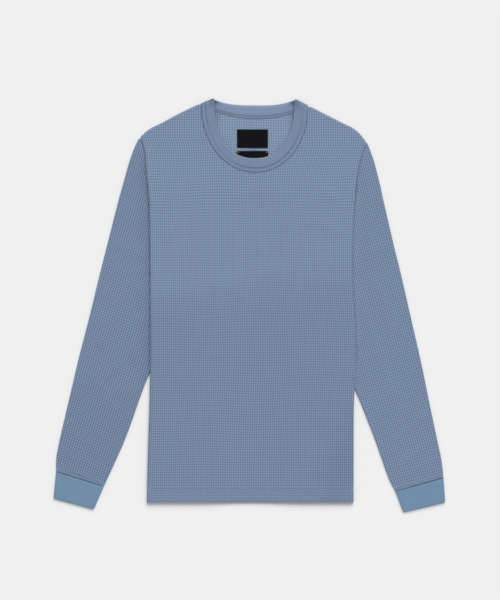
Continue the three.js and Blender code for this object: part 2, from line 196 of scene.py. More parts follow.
def smooth_line(points, step=1.0):
    """A centripetal Catmull-Rom curve through the points, as a dense polyline."""
    p = np.asarray(points, dtype=float)
    p = np.vstack([2 * p[0] - p[1], p, 2 * p[-1] - p[-2]])
    pieces = []
    for i in range(1, len(p) - 2):
        a, b, c, d = p[i - 1], p[i], p[i + 1], p[i + 2]
        t0, t1, t2 = (max(np.linalg.norm(q - r), 1e-6) ** 0.5 for q, r in ((b, a), (c, b), (d, c)))
        m1 = ((b - a) / t0 - (c - a) / (t0 + t1) + (c - b) / t1) * t1
        m2 = ((c - b) / t1 - (d - b) / (t1 + t2) + (d - c) / t2) * t1
        count = max(int(np.linalg.norm(c - b) / step), 1)
        t = (np.arange(count) / count)[:, None]
        pieces.append((2 * t**3 - 3 * t**2 + 1) * b + (t**3 - 2 * t**2 + t) * m1
                      + (-2 * t**3 + 3 * t**2) * c + (t**3 - t**2) * m2)
    return np.vstack(pieces + [p[-2][None]])


def dense_line(points, step=1.0):
    """The polyline with points about one step apart."""
    p = np.asarray(points, dtype=float)
    pieces = []
    for a, b in zip(p[:-1], p[1:]):
        count = max(int(np.linalg.norm(b - a) / step), 1)
        pieces.append(a + (b - a) * (np.arange(count) / count)[:, None])
    return np.vstack(pieces + [p[-1][None]])


def left_normals(line):
    """Unit normals on the left of the way the line runs."""
    along = unit(np.gradient(np.asarray(line, dtype=float), axis=0))
    return np.column_stack([-along[:, 1], along[:, 0]])


def extended(line, by):
    """The line, made longer at both ends."""
    before, after = unit(line[1] - line[0]) * by, unit(line[-1] - line[-2]) * by
    return np.vstack([line[0] - before, line, line[-1] + after])


def first_crossing(a, b):
    """Where polyline a first meets polyline b: the segment of each and the point."""
    p, r = a[:-1, None], (a[1:] - a[:-1])[:, None]
    q, s = b[None, :-1], (b[1:] - b[:-1])[None]
    cross = r[..., 0] * s[..., 1] - r[..., 1] * s[..., 0]
    cross = np.where(np.abs(cross) < 1e-12, 1e-12, cross)
    d = q - p
    t = (d[..., 0] * s[..., 1] - d[..., 1] * s[..., 0]) / cross
    u = (d[..., 0] * r[..., 1] - d[..., 1] * r[..., 0]) / cross
    hits = np.argwhere((t >= 0) & (t <= 1) & (u >= 0) & (u <= 1))
    if not len(hits):
        return None
    i, j = hits[0]
    return i, j, a[i] + (a[i + 1] - a[i]) * t[i, j]


def joined(a, b):
    """Polyline a up to where it meets b, then b from there on."""
    hit = first_crossing(a, b)
    if hit is None:
        return a, b
    i, j, point = hit
    return np.vstack([a[: i + 1], point]), np.vstack([point, b[j + 1:]])


def rolled_fold(side):
    """Where the neckband folds over at a shoulder, and which way is inward there."""
    seam, edge = (np.array(point) for point in shoulder_fold[side])
    along = unit(edge - seam)
    inward = np.array([along[1], -along[0]])
    if inward[1] > 0:
        inward = -inward
    inset = band_thickness + seam_gap / 2
    return {"inward": inward, "seam": seam + inward * inset, "edge": edge + inward * inset}


folds = {side: rolled_fold(side) for side in SIDES}


def front_neck(line, shape, degrees, outset=0.0):
    depth, power = shape
    angle = math.radians(degrees)
    across = math.copysign(abs(math.sin(angle)) ** (2 / power), angle)
    drop = max(math.cos(angle), 0) ** (2 / power)
    point = mix(folds["left"][line], folds["right"][line], (1 + across) / 2)
    return np.array([point[0] + across * outset, point[1] - drop * (depth + outset)])


def back_neck(line, shape, share, outset=0.0):
    depth, power = shape
    point = mix(folds["left"][line], folds["right"][line], (1 + share) / 2)
    return np.array([point[0], point[1] - outset - depth * (1 - abs(share) ** power)])


# Lattices cut to an outline

def inside_polygon(points, polygon):
    x, y = points[:, 0], points[:, 1]
    inside = np.zeros(len(points), dtype=bool)
    for a, b in zip(polygon, np.roll(polygon, -1, axis=0)):
        if a[1] == b[1]:
            continue
        crosses = (a[1] > y) != (b[1] > y)
        inside ^= crosses & (x < a[0] + (y - a[1]) * (b[0] - a[0]) / (b[1] - a[1]))
    return inside


def nearest_on_line(points, line):
    """For each point, the length along the line to its nearest place, and the distance."""
    lengths = lengths_along(line)
    best_t = np.zeros(len(points))
    best_d = np.full(len(points), np.inf)
    for start in range(0, len(points), 400):
        p = points[start:start + 400, None]
        a, r = line[None, :-1], (line[1:] - line[:-1])[None]
        squared = np.maximum((r**2).sum(-1), 1e-12)
        t = np.clip(((p - a) * r).sum(-1) / squared, 0, 1)
        d = np.linalg.norm(p - a - r * t[..., None], axis=-1)
        k = d.argmin(1)
        row = np.arange(len(k))
        best_t[start:start + 400] = lengths[k] + t[row, k] * (lengths[k + 1] - lengths[k])
        best_d[start:start + 400] = d[row, k]
    return best_t, best_d, lengths


def along_line(line, lengths, t):
    return np.column_stack([np.interp(t, lengths, line[:, axis]) for axis in range(line.shape[1])])


def grown(mask):
    """The mask and all its neighbours, diagonal ones too."""
    padded = np.pad(mask, 1)
    rows, columns = mask.shape
    return np.any([padded[i:i + rows, j:j + columns] for i in range(3) for j in range(3)], axis=0)


def cut_lattice(xy, polygon, line, fixed=None):
    """Cut a lattice of points to the polygon. Points next to the line are moved on to it.

    Returns the moved points, which are cloth, which lie on the line and their lengths along it, and the cells."""
    rows, columns = xy.shape[:2]
    flat = xy.reshape(-1, 2).copy()
    inside = inside_polygon(flat, polygon).reshape(rows, columns)
    if fixed is not None:
        inside |= fixed
    near = grown(inside) & grown(~inside)
    near_index = np.flatnonzero(near.ravel())
    t, d, lengths = nearest_on_line(flat[near_index], line)
    step = np.linalg.norm(xy[0, 1] - xy[0, 0])
    on = np.zeros(rows * columns, dtype=bool)
    place = np.zeros(rows * columns)
    place[near_index] = t
    on[near_index[(d < 0.3 * step)]] = True
    on = on.reshape(rows, columns) & inside
    if fixed is not None:
        on &= ~fixed
    strict = inside & ~on
    kept = grown(strict)
    on = kept & ~strict
    cells = []
    for i, j in np.argwhere(strict[:-1, :-1] | strict[1:, :-1] | strict[:-1, 1:] | strict[1:, 1:]):
        corners = [(i, j), (i, j + 1), (i + 1, j + 1), (i + 1, j)]
        first = next(k for k in range(4) if strict[corners[k]])
        corners = corners[first:] + corners[:first]
        cells.append([a * columns + b for a, b in corners])
    moved = on.ravel()
    flat[moved] = along_line(line, lengths, place[moved])
    return flat, kept.ravel(), moved, place, cells


def boundary_edges(faces):
    edges = set()
    for face in faces:
        for a, b in zip(face, face[1:] + face[:1]):
            edges.add((a, b))
    return [(a, b) for a, b in edges if (b, a) not in edges]


def boundary_loop(faces):
    following = dict(boundary_edges(faces))
    start = next(iter(following))
    loop = [start]
    while True:
        after = following[loop[-1]]
        if after == start:
            return loop
        loop.append(after)


def lining_faces(loop, inner_points, columns):
    """Triangles over the loop, in lattice steps, with a few points inside it."""
    index = list(loop) + list(inner_points)
    coords = [(i % columns, i // columns) for i in index]
    vertices, _, faces, original, _, _ = delaunay_2d_cdt(coords, [], [list(range(len(loop)))], 0, 1e-6, True)
    middles = np.array([[sum(vertices[k][axis] for k in face) / 3 for axis in (0, 1)] for face in faces])
    within = inside_polygon(middles, np.array(coords[:len(loop)], dtype=float))
    out = []
    for face in (face for face, is_within in zip(faces, within) if is_within):
        corners = [vertices[k] for k in face]
        area = sum(a.x * b.y - b.x * a.y for a, b in zip(corners, corners[1:] + corners[:1]))
        named = [index[original[k][0]] for k in face]
        out.append(named if area > 0 else named[::-1])
    return out


class Skin:
    """A cloth shell: points of its outer face and their twins on the lining, and the faces of both."""

    def __init__(self):
        self.outer = []
        self.twin = []
        self.uv = []
        self.relief = []
        self.plain = []
        # tone and inside_tone: how much the outer and inner faces are painted lighter or darker, as painted light and
        # shade
        self.tone = []
        self.inside_tone = []
        self.faces = []
        self.lining = []

    def add(self, outer, twin, uv, relief=None, plain=None, tone=None, inside_tone=None):
        start = len(self.outer)
        count = len(outer)
        self.outer += [tuple(p) for p in outer]
        self.twin += [tuple(p) for p in twin]
        self.uv += [tuple(p) for p in uv]
        self.relief += [0.0] * count if relief is None else list(relief)
        self.plain += [0.0] * count if plain is None else list(plain)
        tone = [0.0] * count if tone is None else list(tone)
        self.tone += tone
        self.inside_tone += tone if inside_tone is None else list(inside_tone)
        return list(range(start, start + count))

    def both(self, faces):
        self.faces += faces
        self.lining += faces

    def strips(self, rows, turned=False):
        """Quads between each row of points and the next."""
        for first, second in zip(rows[:-1], rows[1:]):
            if turned:
                first, second = second, first
            self.both([[a, c, d, b] for a, b, c, d in zip(first[:-1], first[1:], second[:-1], second[1:])])

    def normals(self):
        points, faces = np.array(self.outer), np.array(self.faces)
        normal = np.cross(points[faces[:, 2]] - points[faces[:, 0]], points[faces[:, 3]] - points[faces[:, 1]])
        total = np.zeros_like(points)
        for k in range(4):
            np.add.at(total, faces[:, k], normal)
        return unit(total)

    def build(self, name, material, inside=None, mirrored=False):
        """One closed mesh. mirrored is for a skin whose outer face was listed clockwise."""
        normals = self.normals() * (-1 if mirrored else 1)
        outer = np.array(self.outer) + normals * np.array(self.relief)[:, None]
        outer[:, 2] = np.maximum(outer[:, 2], 0)
        count = len(outer)
        edges = boundary_edges(self.faces)
        faces = [list(face) for face in self.faces]
        faces += [[k + count for k in reversed(face)] for face in self.lining]
        faces += [[b, a, a + count, b + count] for a, b in edges]
        if mirrored:
            faces = [face[::-1] for face in faces]
        points = np.vstack([outer, np.array(self.twin)])
        uv = np.vstack([np.array(self.uv)] * 2)
        used = np.zeros(len(points), dtype=bool)
        used[np.fromiter((k for face in faces for k in face), dtype=int)] = True
        renumber = np.cumsum(used) - 1
        faces = [[int(renumber[k]) for k in face] for face in faces]
        piece = mesh_object(name, points[used], faces, material, uv[used])
        for key, values in (("plain", self.plain * 2), ("tone", self.tone + self.inside_tone)):
            attribute = piece.data.attributes.new(key, "FLOAT", "POINT")
            attribute.data.foreach_set("value", np.array(values, dtype=np.float32)[used])
        if inside is not None:
            piece.data.materials.append(inside)
            slot = np.zeros(len(faces), dtype=np.int32)
            slot[len(self.faces):len(self.faces) + len(self.lining)] = 1
            piece.data.polygons.foreach_set("material_index", slot)
        return piece


def mesh_object(name, points, faces, material, uv=None):
    mesh = bpy.data.meshes.new(name)
    mesh.from_pydata((np.asarray(points) * MM).tolist(), [], faces)
    mesh.polygons.foreach_set("use_smooth", np.ones(len(mesh.polygons), dtype=bool))
    if uv is not None:
        corners = np.zeros(len(mesh.loops), dtype=np.int32)
        mesh.loops.foreach_get("vertex_index", corners)
        layer = mesh.uv_layers.new(name="Knit")
        layer.data.foreach_set("uv", np.asarray(uv, dtype=np.float32)[corners].ravel())
    mesh.materials.append(material)
    mesh.update()
    piece = bpy.data.objects.new(name, mesh)
    bpy.context.collection.objects.link(piece)
    return piece


# Materials

def srgb(r, g, b):
    def linear(value):
        value /= 255
        return value / 12.92 if value <= 0.04045 else ((value + 0.055) / 1.055) ** 2.4
    return (linear(r), linear(g), linear(b), 1)


class Material:
    """A material and short calls for its nodes. An input is a number, or an output that is linked to it."""

    def __init__(self, name, roughness, specular=0.2, sheen=0.0):
        self.made = bpy.data.materials.new(name)
        self.made.use_nodes = True
        self.nodes, self.links = self.made.node_tree.nodes, self.made.node_tree.links
        self.shader = next(node for node in self.nodes if node.type == "BSDF_PRINCIPLED")
        settings = {
            "Roughness": roughness, "Specular IOR Level": specular, "Sheen Weight": sheen,
            "Sheen Roughness": 0.5, "Sheen Tint": (0.55, 0.68, 0.85, 1),
        }
        for key, value in settings.items():
            self.shader.inputs[key].default_value = value

    def node(self, kind, inputs):
        node = self.nodes.new(kind)
        for key, value in inputs.items():
            if isinstance(value, bpy.types.NodeSocket):
                self.links.new(value, node.inputs[key])
            else:
                node.inputs[key].default_value = value
        return node

    def calculate(self, operation, *values):
        node = self.node("ShaderNodeMath", dict(enumerate(values)))
        node.operation = operation
        return node.outputs[0]

    def product(self, a, b):
        return self.calculate("MULTIPLY", a, b)

    def less(self, a, b):
        return self.calculate("SUBTRACT", a, b)

    def total(self, *terms):
        """The sum of the terms. Each is an output and the number that it is multiplied by."""
        result = self.product(*terms[0])
        for term in terms[1:]:
            result = self.calculate("ADD", result, self.product(*term))
        return result

    def attribute(self, name):
        node = self.node("ShaderNodeAttribute", {})
        node.attribute_name = name
        return node.outputs["Fac"]

    def noise(self, scale, detail, roughness):
        place = self.node("ShaderNodeTexCoord", {}).outputs["Object"]
        inputs = {"Vector": place, "Scale": scale, "Detail": detail, "Roughness": roughness}
        return self.node("ShaderNodeTexNoise", inputs).outputs["Fac"]

    def cells(self):
        """The two coordinates that count the knit's cells."""
        uv_node = self.node("ShaderNodeUVMap", {})
        uv_node.uv_map = "Knit"
        parts = self.node("ShaderNodeSeparateXYZ", {"Vector": uv_node.outputs["UV"]})
        return parts.outputs["X"], parts.outputs["Y"]

    def hump(self, coordinate, cycles=1.0):
        """0 at whole numbers and 1 half way between them."""
        wave = self.calculate("COSINE", self.product(coordinate, 2 * math.pi * cycles))
        return self.product(self.less(1.0, wave), 0.5)

    def colour(self, shade, stops):
        node = self.node("ShaderNodeValToRGB", {"Fac": shade})
        elements = node.color_ramp.elements
        while len(elements) < len(stops):
            elements.new(0.5)
        for element, (position, colour) in zip(elements, stops):
            element.position = position
            element.color = colour
        self.links.new(node.outputs["Color"], self.shader.inputs["Base Color"])

    def bump(self, height, distance, after=None):
        node = self.node("ShaderNodeBump", {"Strength": 1.0, "Distance": distance, "Height": height})
        if after is not None:
            self.links.new(after, node.inputs["Normal"])
        self.links.new(node.outputs["Normal"], self.shader.inputs["Normal"])
        return node.outputs["Normal"]


def waffle_material(name, ridge, middle, pit, column_share=0.34, row_share=0.0):
    """Painted shade: darker in its pits and along its columns and rows. The shares are those of whole columns and
    rows, and single pits have the rest.
    """
    cloth_look = Material(name, 0.92, sheen=0.25)
    less, product, noise, hump = cloth_look.less, cloth_look.product, cloth_look.noise, cloth_look.hump
    u, v = cloth_look.cells()
    plain = cloth_look.attribute("plain")
    knitted = less(1.0, plain)
    column, row = hump(u), hump(v)
    pits = product(product(column, row), knitted)
    # shade adds painted shade in the pits, columns and rows, random patches, the pressed knit, and the painted light
    # and shade of the tone attribute
    shade = cloth_look.total(
        (pits, 1 - column_share - row_share),
        (product(column, knitted), column_share),
        (product(row, knitted), row_share),
        (less(noise(30.0, 3.0, 0.6), 0.5), 0.07),
        (less(noise(420.0, 2.0, 0.6), 0.5), 0.22),
        (plain, 0.32),
        (cloth_look.attribute("tone"), -1.0),
    )
    cloth_look.colour(shade, [(0.0, ridge), (0.5, middle), (1.0, pit)])
    height = cloth_look.total((product(hump(u, 3.0), hump(v, 4.0)), 0.5), (noise(1400.0, 2.0, 0.7), 0.5))
    deep = cloth_look.bump(less(1.0, pits), 0.00025)
    cloth_look.bump(height, 0.00008, after=deep)
    return cloth_look.made


def rib_material(name, light, dark):
    cloth_look = Material(name, 0.88, sheen=0.25)
    # Painted shade: the rib is darker in its grooves, and its darkest colour, shadow, is painted shade for the two
    # ends of the neckband's opening
    groove = cloth_look.hump(cloth_look.cells()[0])
    yarn = cloth_look.noise(1500.0, 2.0, 0.7)
    patches = cloth_look.less(cloth_look.noise(25.0, 3.0, 0.6), 0.3)
    shade = cloth_look.total((groove, 0.5), (yarn, 0.3), (patches, 0.2), (cloth_look.attribute("tone"), -1.0))
    shadow = tuple(0.35 * value for value in dark[:3]) + (1,)
    cloth_look.colour(shade, [(0.0, light), (0.6, dark), (1.0, shadow)])
    cloth_look.bump(cloth_look.total((cloth_look.less(1.0, groove), 1.0), (yarn, 0.4)), 0.00012)
    return cloth_look.made


def thread_material(name, light, dark):
    thread_look = Material(name, 0.7, sheen=0.1)
    twist = thread_look.noise(2500.0, 1.0, 0.5)
    thread_look.colour(twist, [(0.3, dark), (0.7, light)])
    thread_look.bump(twist, 0.0001)
    return thread_look.made


def label_material(name):
    label_look = Material(name, 0.85, specular=0.1)
    u, v = label_look.cells()
    weave = label_look.product(label_look.hump(u), label_look.hump(v))
    shade = label_look.total((weave, 0.4), (label_look.noise(900.0, 3.0, 0.7), 0.6))
    label_look.colour(shade, [(0.2, srgb(8, 8, 10)), (0.8, srgb(22, 23, 26))])
    label_look.bump(weave, 0.00008)
    return label_look.made


# The last colour of each waffle, for its pits, is painted shade
waffle = waffle_material(
    "waffle_knit", srgb(134, 153, 180), srgb(114, 133, 160), srgb(56, 72, 96), row_share=0.16)
sleeve_waffle = waffle_material(
    "sleeve_waffle_knit", srgb(131, 150, 176), srgb(112, 131, 157), srgb(74, 92, 117))
waffle_inside = waffle_material(
    "waffle_inside", srgb(141, 161, 185), srgb(121, 141, 166), srgb(84, 103, 128), 0.24, 0.12)
rib = rib_material("rib_knit", srgb(135, 152, 179), srgb(115, 132, 159))
cuff_rib = rib_material("cuff_rib_knit", srgb(126, 155, 184), srgb(108, 137, 164))
# The tonal thread is painted darker than the cloth: painted shade of the trough its stitches pull in
stitch_thread_painted_shade = thread_material("tonal_thread_painted_shade", srgb(80, 96, 122), srgb(58, 74, 96))
neck_thread = thread_material("neck_thread", srgb(140, 156, 182), srgb(112, 128, 154))
orange_thread = thread_material("orange_thread", srgb(214, 128, 52), srgb(170, 88, 26))
black_label = label_material("label_weave")


# Body panels

# Soft ridges and troughs of the front: both ends, half width and height
front_creases = [
    (-179, 268, -174, 184, 9, 1.2), (-174, 184, -172, 60, 9, 1.2), (-172, 60, -171.5, -90, 9, 0.9),
    (104, 78, 107, -16, 5, 0.45), (124, 84, 122, -12, 5, 0.45),
    (-158, 170, -104, 214, 7, 0.5), (-156, 128, -96, 160, 8, 0.4), (-150, 92, -100, 104, 8, 0.3),
    (166, 172, 118, 212, 7, 0.5), (164, 126, 108, 150, 8, 0.4),
    (-60, 36, 30, 52, 12, 0.5), (30, 52, 92, 74, 10, 0.4), (-150, 20, -60, 36, 12, 0.4),
    (142, -200, 172, -300, 12, 0.6), (128, -255, 150, -335, 10, 0.35),
    (-132, -232, -150, -330, 10, 0.5), (-70, -150, -50, -262, 12, 0.3), (36, -118, 62, -246, 12, 0.3),
    (-24, 196, 46, 206, 10, 0.3), (-96, 306, -132, 250, 9, 0.35), (112, 304, 142, 246, 9, 0.35),
]
# The back is flat on the floor, so its cloth only rises
back_creases = [
    (-152, 168, -100, 208, 8, 0.4), (160, 164, 112, 206, 8, 0.4), (-60, 60, 60, 40, 12, 0.35),
    (-120, -150, -40, -190, 12, 0.35), (120, -120, 50, -180, 12, 0.35), (-20, -230, 20, -320, 10, 0.3),
]
hem_stitch_rows = (-322.8, -326.3)


def hem_groove(y):
    """The trough that the hem's two rows of stitches pull into the cloth."""
    middle = sum(hem_stitch_rows) / 2
    return 0.35 * np.exp(-((np.asarray(y) - middle) / 2.8) ** 2)


def hem_plain(y):
    """How flat the knit is pressed: most between the rows of stitches, and somewhat in the turned-up cloth below."""
    off_rows = np.abs(np.asarray(y) - sum(hem_stitch_rows) / 2)
    return np.maximum(0.8 * (1 - smooth_step(2.6, 4.4, off_rows)), 0.2 * smooth_step(-326, -329, y))


def wrinkles(x, y, is_front):
    y = np.asarray(y, dtype=float)
    if not is_front:
        return creases(x, y, back_creases)
    rise = creases(x, y, front_creases) + 0.2 * smooth_step(-322, -328, y)
    return rise * smooth_step(0, 10, y + 347)


def panel_painted_light(x, y, is_front):
    """How much lighter the cloth is painted: painted light over the chest, and on the front painted shade towards the
    lower right corner.
    """
    x, y = np.asarray(x, dtype=float), np.asarray(y, dtype=float)
    chest = smooth_step(-20, 70, y - 0.12 * x)
    corner = np.exp(-(segment_distance(x, y, (184, -220), (150, -346)) / 38) ** 2)
    return 0.1 * chest - 0.08 * corner * (1.0 if is_front else 0.0)


def inside_tone(x, y):
    """Painted shade on the back's inner face: a painted shadow between the labels, under the neck label's ragged edge,
    and painted shade in the two corners of the neck.
    """
    between_labels = np.exp(-((x - 6) / 14) ** 2 - ((y - 274) / 2.6) ** 2)
    left_corner = np.exp(-(np.hypot(x + 60, (y - 338) / 2) / 7) ** 2)
    right_corner = np.exp(-(np.hypot(x - 78, (y - 336) / 2) / 7) ** 2)
    return -0.35 * between_labels - 0.35 * (left_corner + right_corner)


def wave(x, y):
    """How far a waffle row wanders up or down."""
    drift = 1.0 * np.sin(x / 47 + y / 90) + 0.7 * np.sin(x / 23 - y / 61 + 1.3)
    return drift * smooth_step(-320, -260, y)


def row_step_at(y):
    """Half the height of a waffle row: the rows are taller over the chest."""
    return mix(row_pitch, chest_row_pitch, math.exp(-((y - 185) / 45) ** 2)) / 2


def side_profile(side, inset):
    """The fold line of a side, moved in, and the way inward along it."""
    points = smooth_line(body_left if side == "left" else body_right)
    inward = left_normals(points) * SIGN[side]
    return inward, points + inward * inset


def panel_lattice(neck_line, edge_inset):
    """The flat part of a panel: its lattice, cut at the shoulders and the neckline."""
    sides = {}
    for side in SIDES:
        inward, centre = side_profile(side, fold_reach)
        shoulder = smooth_line(shoulder_left if side == "left" else shoulder_right)
        shoulder_in = left_normals(shoulder) * (-1 if side == "left" else 1)
        inset_shoulder = extended(shoulder + shoulder_in * fold_reach, 4)
        hit = first_crossing(centre, inset_shoulder)
        sides[side] = {
            "centre": centre, "inward": inward,
            "corner": hit[2], "shoulder": np.vstack([hit[2], inset_shoulder[hit[1] + 1:]]),
        }
    right_part, rest = joined(sides["right"]["shoulder"], neck_line)
    neck_part, left_part = joined(rest, sides["left"]["shoulder"][::-1])
    far_right = sides["right"]["corner"] + np.array([150.0, -150.0])
    far_left = sides["left"]["corner"] + np.array([-150.0, -150.0])
    line = np.vstack([far_right[None], right_part, neck_part[1:], left_part[1:], far_left[None]])
    line = dense_line(line, 0.8)
    polygon = np.vstack([line, [[far_left[0], -500.0], [far_right[0], -500.0]]])
    junctions = nearest_on_line(np.array([neck_part[0], neck_part[-1]]), line)[0]

    columns = 2 * body_cells_across
    row_heights = [body_left[0][1] + edge_inset]
    while row_heights[-1] < 360:
        row_heights.append(row_heights[-1] + row_step_at(row_heights[-1]))
    rows = len(row_heights)
    even = np.linspace(0, 1, columns + 1)
    share = even - 0.035 * np.sin(2 * np.pi * even) / (2 * np.pi)
    xy = np.zeros((rows, columns + 1, 2))
    fixed = np.zeros((rows, columns + 1), dtype=bool)
    last_row = {}
    for i, y in enumerate(row_heights):
        ends = []
        for side in SIDES:
            centre = sides[side]["centre"]
            limit = min(y, sides[side]["corner"][1])
            ends.append(np.interp(limit, centre[:, 1], centre[:, 0]))
            if y <= sides[side]["corner"][1]:
                last_row[side] = i
                fixed[i, 0 if side == "left" else columns] = True
        x = mix(ends[0], ends[1], share)
        xy[i, :, 0] = x
        xy[i, :, 1] = y + wave(x, y) * np.sin(np.pi * even) ** 0.5
    return sides, xy, fixed, last_row, polygon, line, junctions


def build_panel(name, material, neck_line, is_front, flap_columns, fine_window=None):
    edge_inset = 0.8
    sides, xy, fixed, last_row, polygon, line, junctions = panel_lattice(neck_line, edge_inset)
    rows, width = xy.shape[:2]
    flat, kept, moved, place, cells = cut_lattice(xy, polygon, line, fixed)
    loop = boundary_loop(cells)
    start = loop.index(last_row["right"] * width + width - 1)
    loop = loop[start:] + loop[:start]
    end = loop.index(last_row["left"] * width)
    cut_part = loop[1:end]
    _, _, lengths = nearest_on_line(flat[:1], line)
    ordered = np.maximum.accumulate(place[cut_part])
    flat[cut_part] = along_line(line, lengths, ordered)

    def heights(x, y):
        base = back_underside(x, y)
        crease = wrinkles(x, y, is_front)
        if is_front:
            return front_top(x, y) + crease, front_top(x, y) - cloth + crease, base
        return base + crease, base + cloth + crease, base

    index = np.flatnonzero(kept)
    x, y = flat[index, 0], flat[index, 1]
    outer_z, twin_z, _ = heights(x, y)
    original = xy.reshape(-1, 2)[index]
    lattice_i, lattice_j = index // width, index % width
    column_step = (xy[:, -1, 0] - xy[:, 0, 0])[lattice_i] / (width - 1)
    uv = np.column_stack([
        (lattice_j + (x - original[:, 0]) / column_step) / 2,
        (lattice_i + (y - original[:, 1]) / (row_pitch / 2)) / 2,
    ])
    pressed = hem_plain(y)
    relief = waffle_relief(lattice_i, lattice_j, body_dips) * (1 - pressed) - hem_groove(y)
    relief[moved[index]] = 0
    skin = Skin()
    number = np.full(rows * width, -1)
    number[index] = skin.add(np.column_stack([x, y, outer_z]), np.column_stack([x, y, twin_z]), uv, relief,
                             plain=pressed, tone=panel_painted_light(x, y, is_front), inside_tone=inside_tone(x, y))
    skin.faces += [[int(number[k]) for k in cell] for cell in cells]
    inner_lattice = [
        int(k) for k in index[~moved[index]]
        if (k // width) % 10 == 0 and (k % width) % 8 == 0 and 0 < k % width < width - 1 and k // width > 0
    ]
    if fine_window:
        left, right, bottom, top = fine_window
        inner_lattice = set(inner_lattice) | {
            int(k) for k in index[~moved[index]]
            if left < flat[k, 0] < right and bottom < flat[k, 1] < top
        }
        window = [k for k in inner_lattice if left < flat[k, 0] < right and bottom < flat[k, 1] < top]
        for k in window:
            n = number[k]
            odd_cell = (k // width) % 2 + (k % width) % 2
            px, py, pz = skin.twin[n]
            deeper = mix(0.6, 1.15, (px - left) / (right - left))
            skin.twin[n] = (px, py, pz - inside_pit_depth * (deeper if odd_cell == 2 else 0.15 * odd_cell))
        inner_lattice = sorted(inner_lattice)
    loop_set = set(loop)
    inner_lattice = [k for k in inner_lattice if k not in loop_set]
    skin.lining += [[int(number[k]) for k in face] for face in lining_faces(loop, inner_lattice, width)]

    arc_steps = 3
    if is_front:
        reach_outer, reach_twin = fold_reach, fold_reach - cloth
    else:
        reach_outer, reach_twin = fold_reach - 2 * cloth - seam_gap, fold_reach - cloth - seam_gap

    def arc_points(xs, ys, out, weight, angle):
        """Points on the rounded edge. weight is 1 at a fold and 0 at a seam."""
        top, under, base = heights(xs, ys)
        centre_z = mix((top + under) / 2, base, weight)
        result = []
        for z, reach in ((top, mix(edge_inset, reach_outer, weight)), (under, mix(edge_inset - 0.05, reach_twin, weight))):
            sine, cosine = math.sin(angle), math.cos(angle)
            height = centre_z + (z - centre_z) * cosine
            if angle > math.pi / 2:
                if is_front:
                    below = base if z is top else base - cloth
                else:
                    below = base - 2 * cloth - seam_gap if z is top else base - cloth - seam_gap
                height = base + below * cosine
            result.append(np.column_stack([xs + out[:, 0] * reach * sine, ys + out[:, 1] * reach * sine, height]))
        return result

    def edge_columns(numbers, out, weight, angles, uv_step, parity=None):
        """Columns of points round an edge, each a list of point numbers."""
        xs = np.array([skin.outer[n][0] for n in numbers])
        ys = np.array([skin.outer[n][1] for n in numbers])
        base_uv = np.array([skin.uv[n] for n in numbers])
        result = []
        for k, angle in enumerate(angles, 1):
            outer, twin = arc_points(xs, ys, out, weight, angle)
            relief = np.zeros(len(numbers))
            if parity is not None:
                relief = waffle_relief(parity, k, body_dips) * (1 - hem_plain(ys)) - hem_groove(ys)
            result.append(skin.add(outer, twin, base_uv + uv_step * k, relief, plain=hem_plain(ys),
                                   tone=panel_painted_light(xs, ys, is_front)))
        return result

    quarter = [math.pi / 2 * k / arc_steps for k in range(1, arc_steps + 1)]
    lower = [math.pi / 2 * (1 + k / arc_steps) for k in range(1, arc_steps + 1)]
    hem_line = {}
    side_end = {}
    for side in SIDES:
        column = 0 if side == "left" else width - 1
        count = last_row[side] + 1
        numbers = [int(number[i * width + column]) for i in range(count)]
        ys = np.array([skin.outer[n][1] for n in numbers])
        centre, inward = sides[side]["centre"], sides[side]["inward"]
        out = -np.column_stack([np.interp(ys, centre[:, 1], inward[:, axis]) for axis in (0, 1)])
        out = unit(out)
        sign = SIGN[side]
        parity = np.arange(count) % 2
        step = np.array([0.5 * sign, 0.0])
        upper_columns = edge_columns(numbers, out, np.ones(count), quarter, step, parity)
        rows_below = [k for k in range(count) if ys[k] <= flaps[side][2]]
        below = len(rows_below)
        start_uv = np.array([skin.uv[n] for n in upper_columns[-1][:below]])
        lower_columns = []
        xs_low = np.array([skin.outer[n][0] for n in numbers[:below]])
        for k, angle in enumerate(lower, 1):
            outer, twin = arc_points(xs_low, ys[:below], out[:below], np.ones(below), angle)
            relief = waffle_relief(parity[:below], k + arc_steps, body_dips) - hem_groove(ys[:below])
            relief = relief * (1.0 if is_front else 0.0)
            lower_columns.append(skin.add(outer, twin, start_uv + step * k, relief, plain=hem_plain(ys[:below]),
                                          tone=panel_painted_light(xs_low, ys[:below], is_front)))
        seam_x, top_rise, notch_y = flaps[side]
        rise = top_rise * smooth_step(body_left[0][1], notch_y, ys[:below]) ** 2
        seam = np.column_stack([np.full(below, seam_x), ys[:below] + rise])
        begin = np.array(skin.outer)[lower_columns[-1]]
        begin_twin = np.array(skin.twin)[lower_columns[-1]]
        flap_uv = np.array([skin.uv[n] for n in lower_columns[-1]])
        flap_lists = []
        for k in range(1, flap_columns + 1):
            share = k / flap_columns
            xy_place = mix(begin[:, :2], seam, share)
            slant = rise * share
            relief = waffle_relief(parity[:below], k, body_dips) - hem_groove(ys[:below])
            relief = relief * (1 - smooth_step(0.5, 3, slant)) * (1.0 if is_front else 0.0)
            if k == flap_columns:
                relief = relief * 0
            across = np.full(below, sign * 0.5 * k * (77 / 1.9) / flap_columns)
            uv_here = flap_uv + np.column_stack([across, slant / row_pitch])
            flap_lists.append(skin.add(
                np.column_stack([xy_place, begin[:, 2]]), np.column_stack([xy_place, begin_twin[:, 2]]), uv_here, relief,
                plain=hem_plain(ys[:below])))
        columns_out = [numbers] + upper_columns
        skin.strips(columns_out, turned=side == "left")
        columns_low = [upper_columns[-1][:below]] + lower_columns + flap_lists
        skin.strips(columns_low, turned=side == "left")
        hem_line[side] = [column_list[0] for column_list in columns_out[1:] + columns_low[1:]]
        side_end[side] = [numbers[-1]] + [column_list[-1] for column_list in upper_columns]

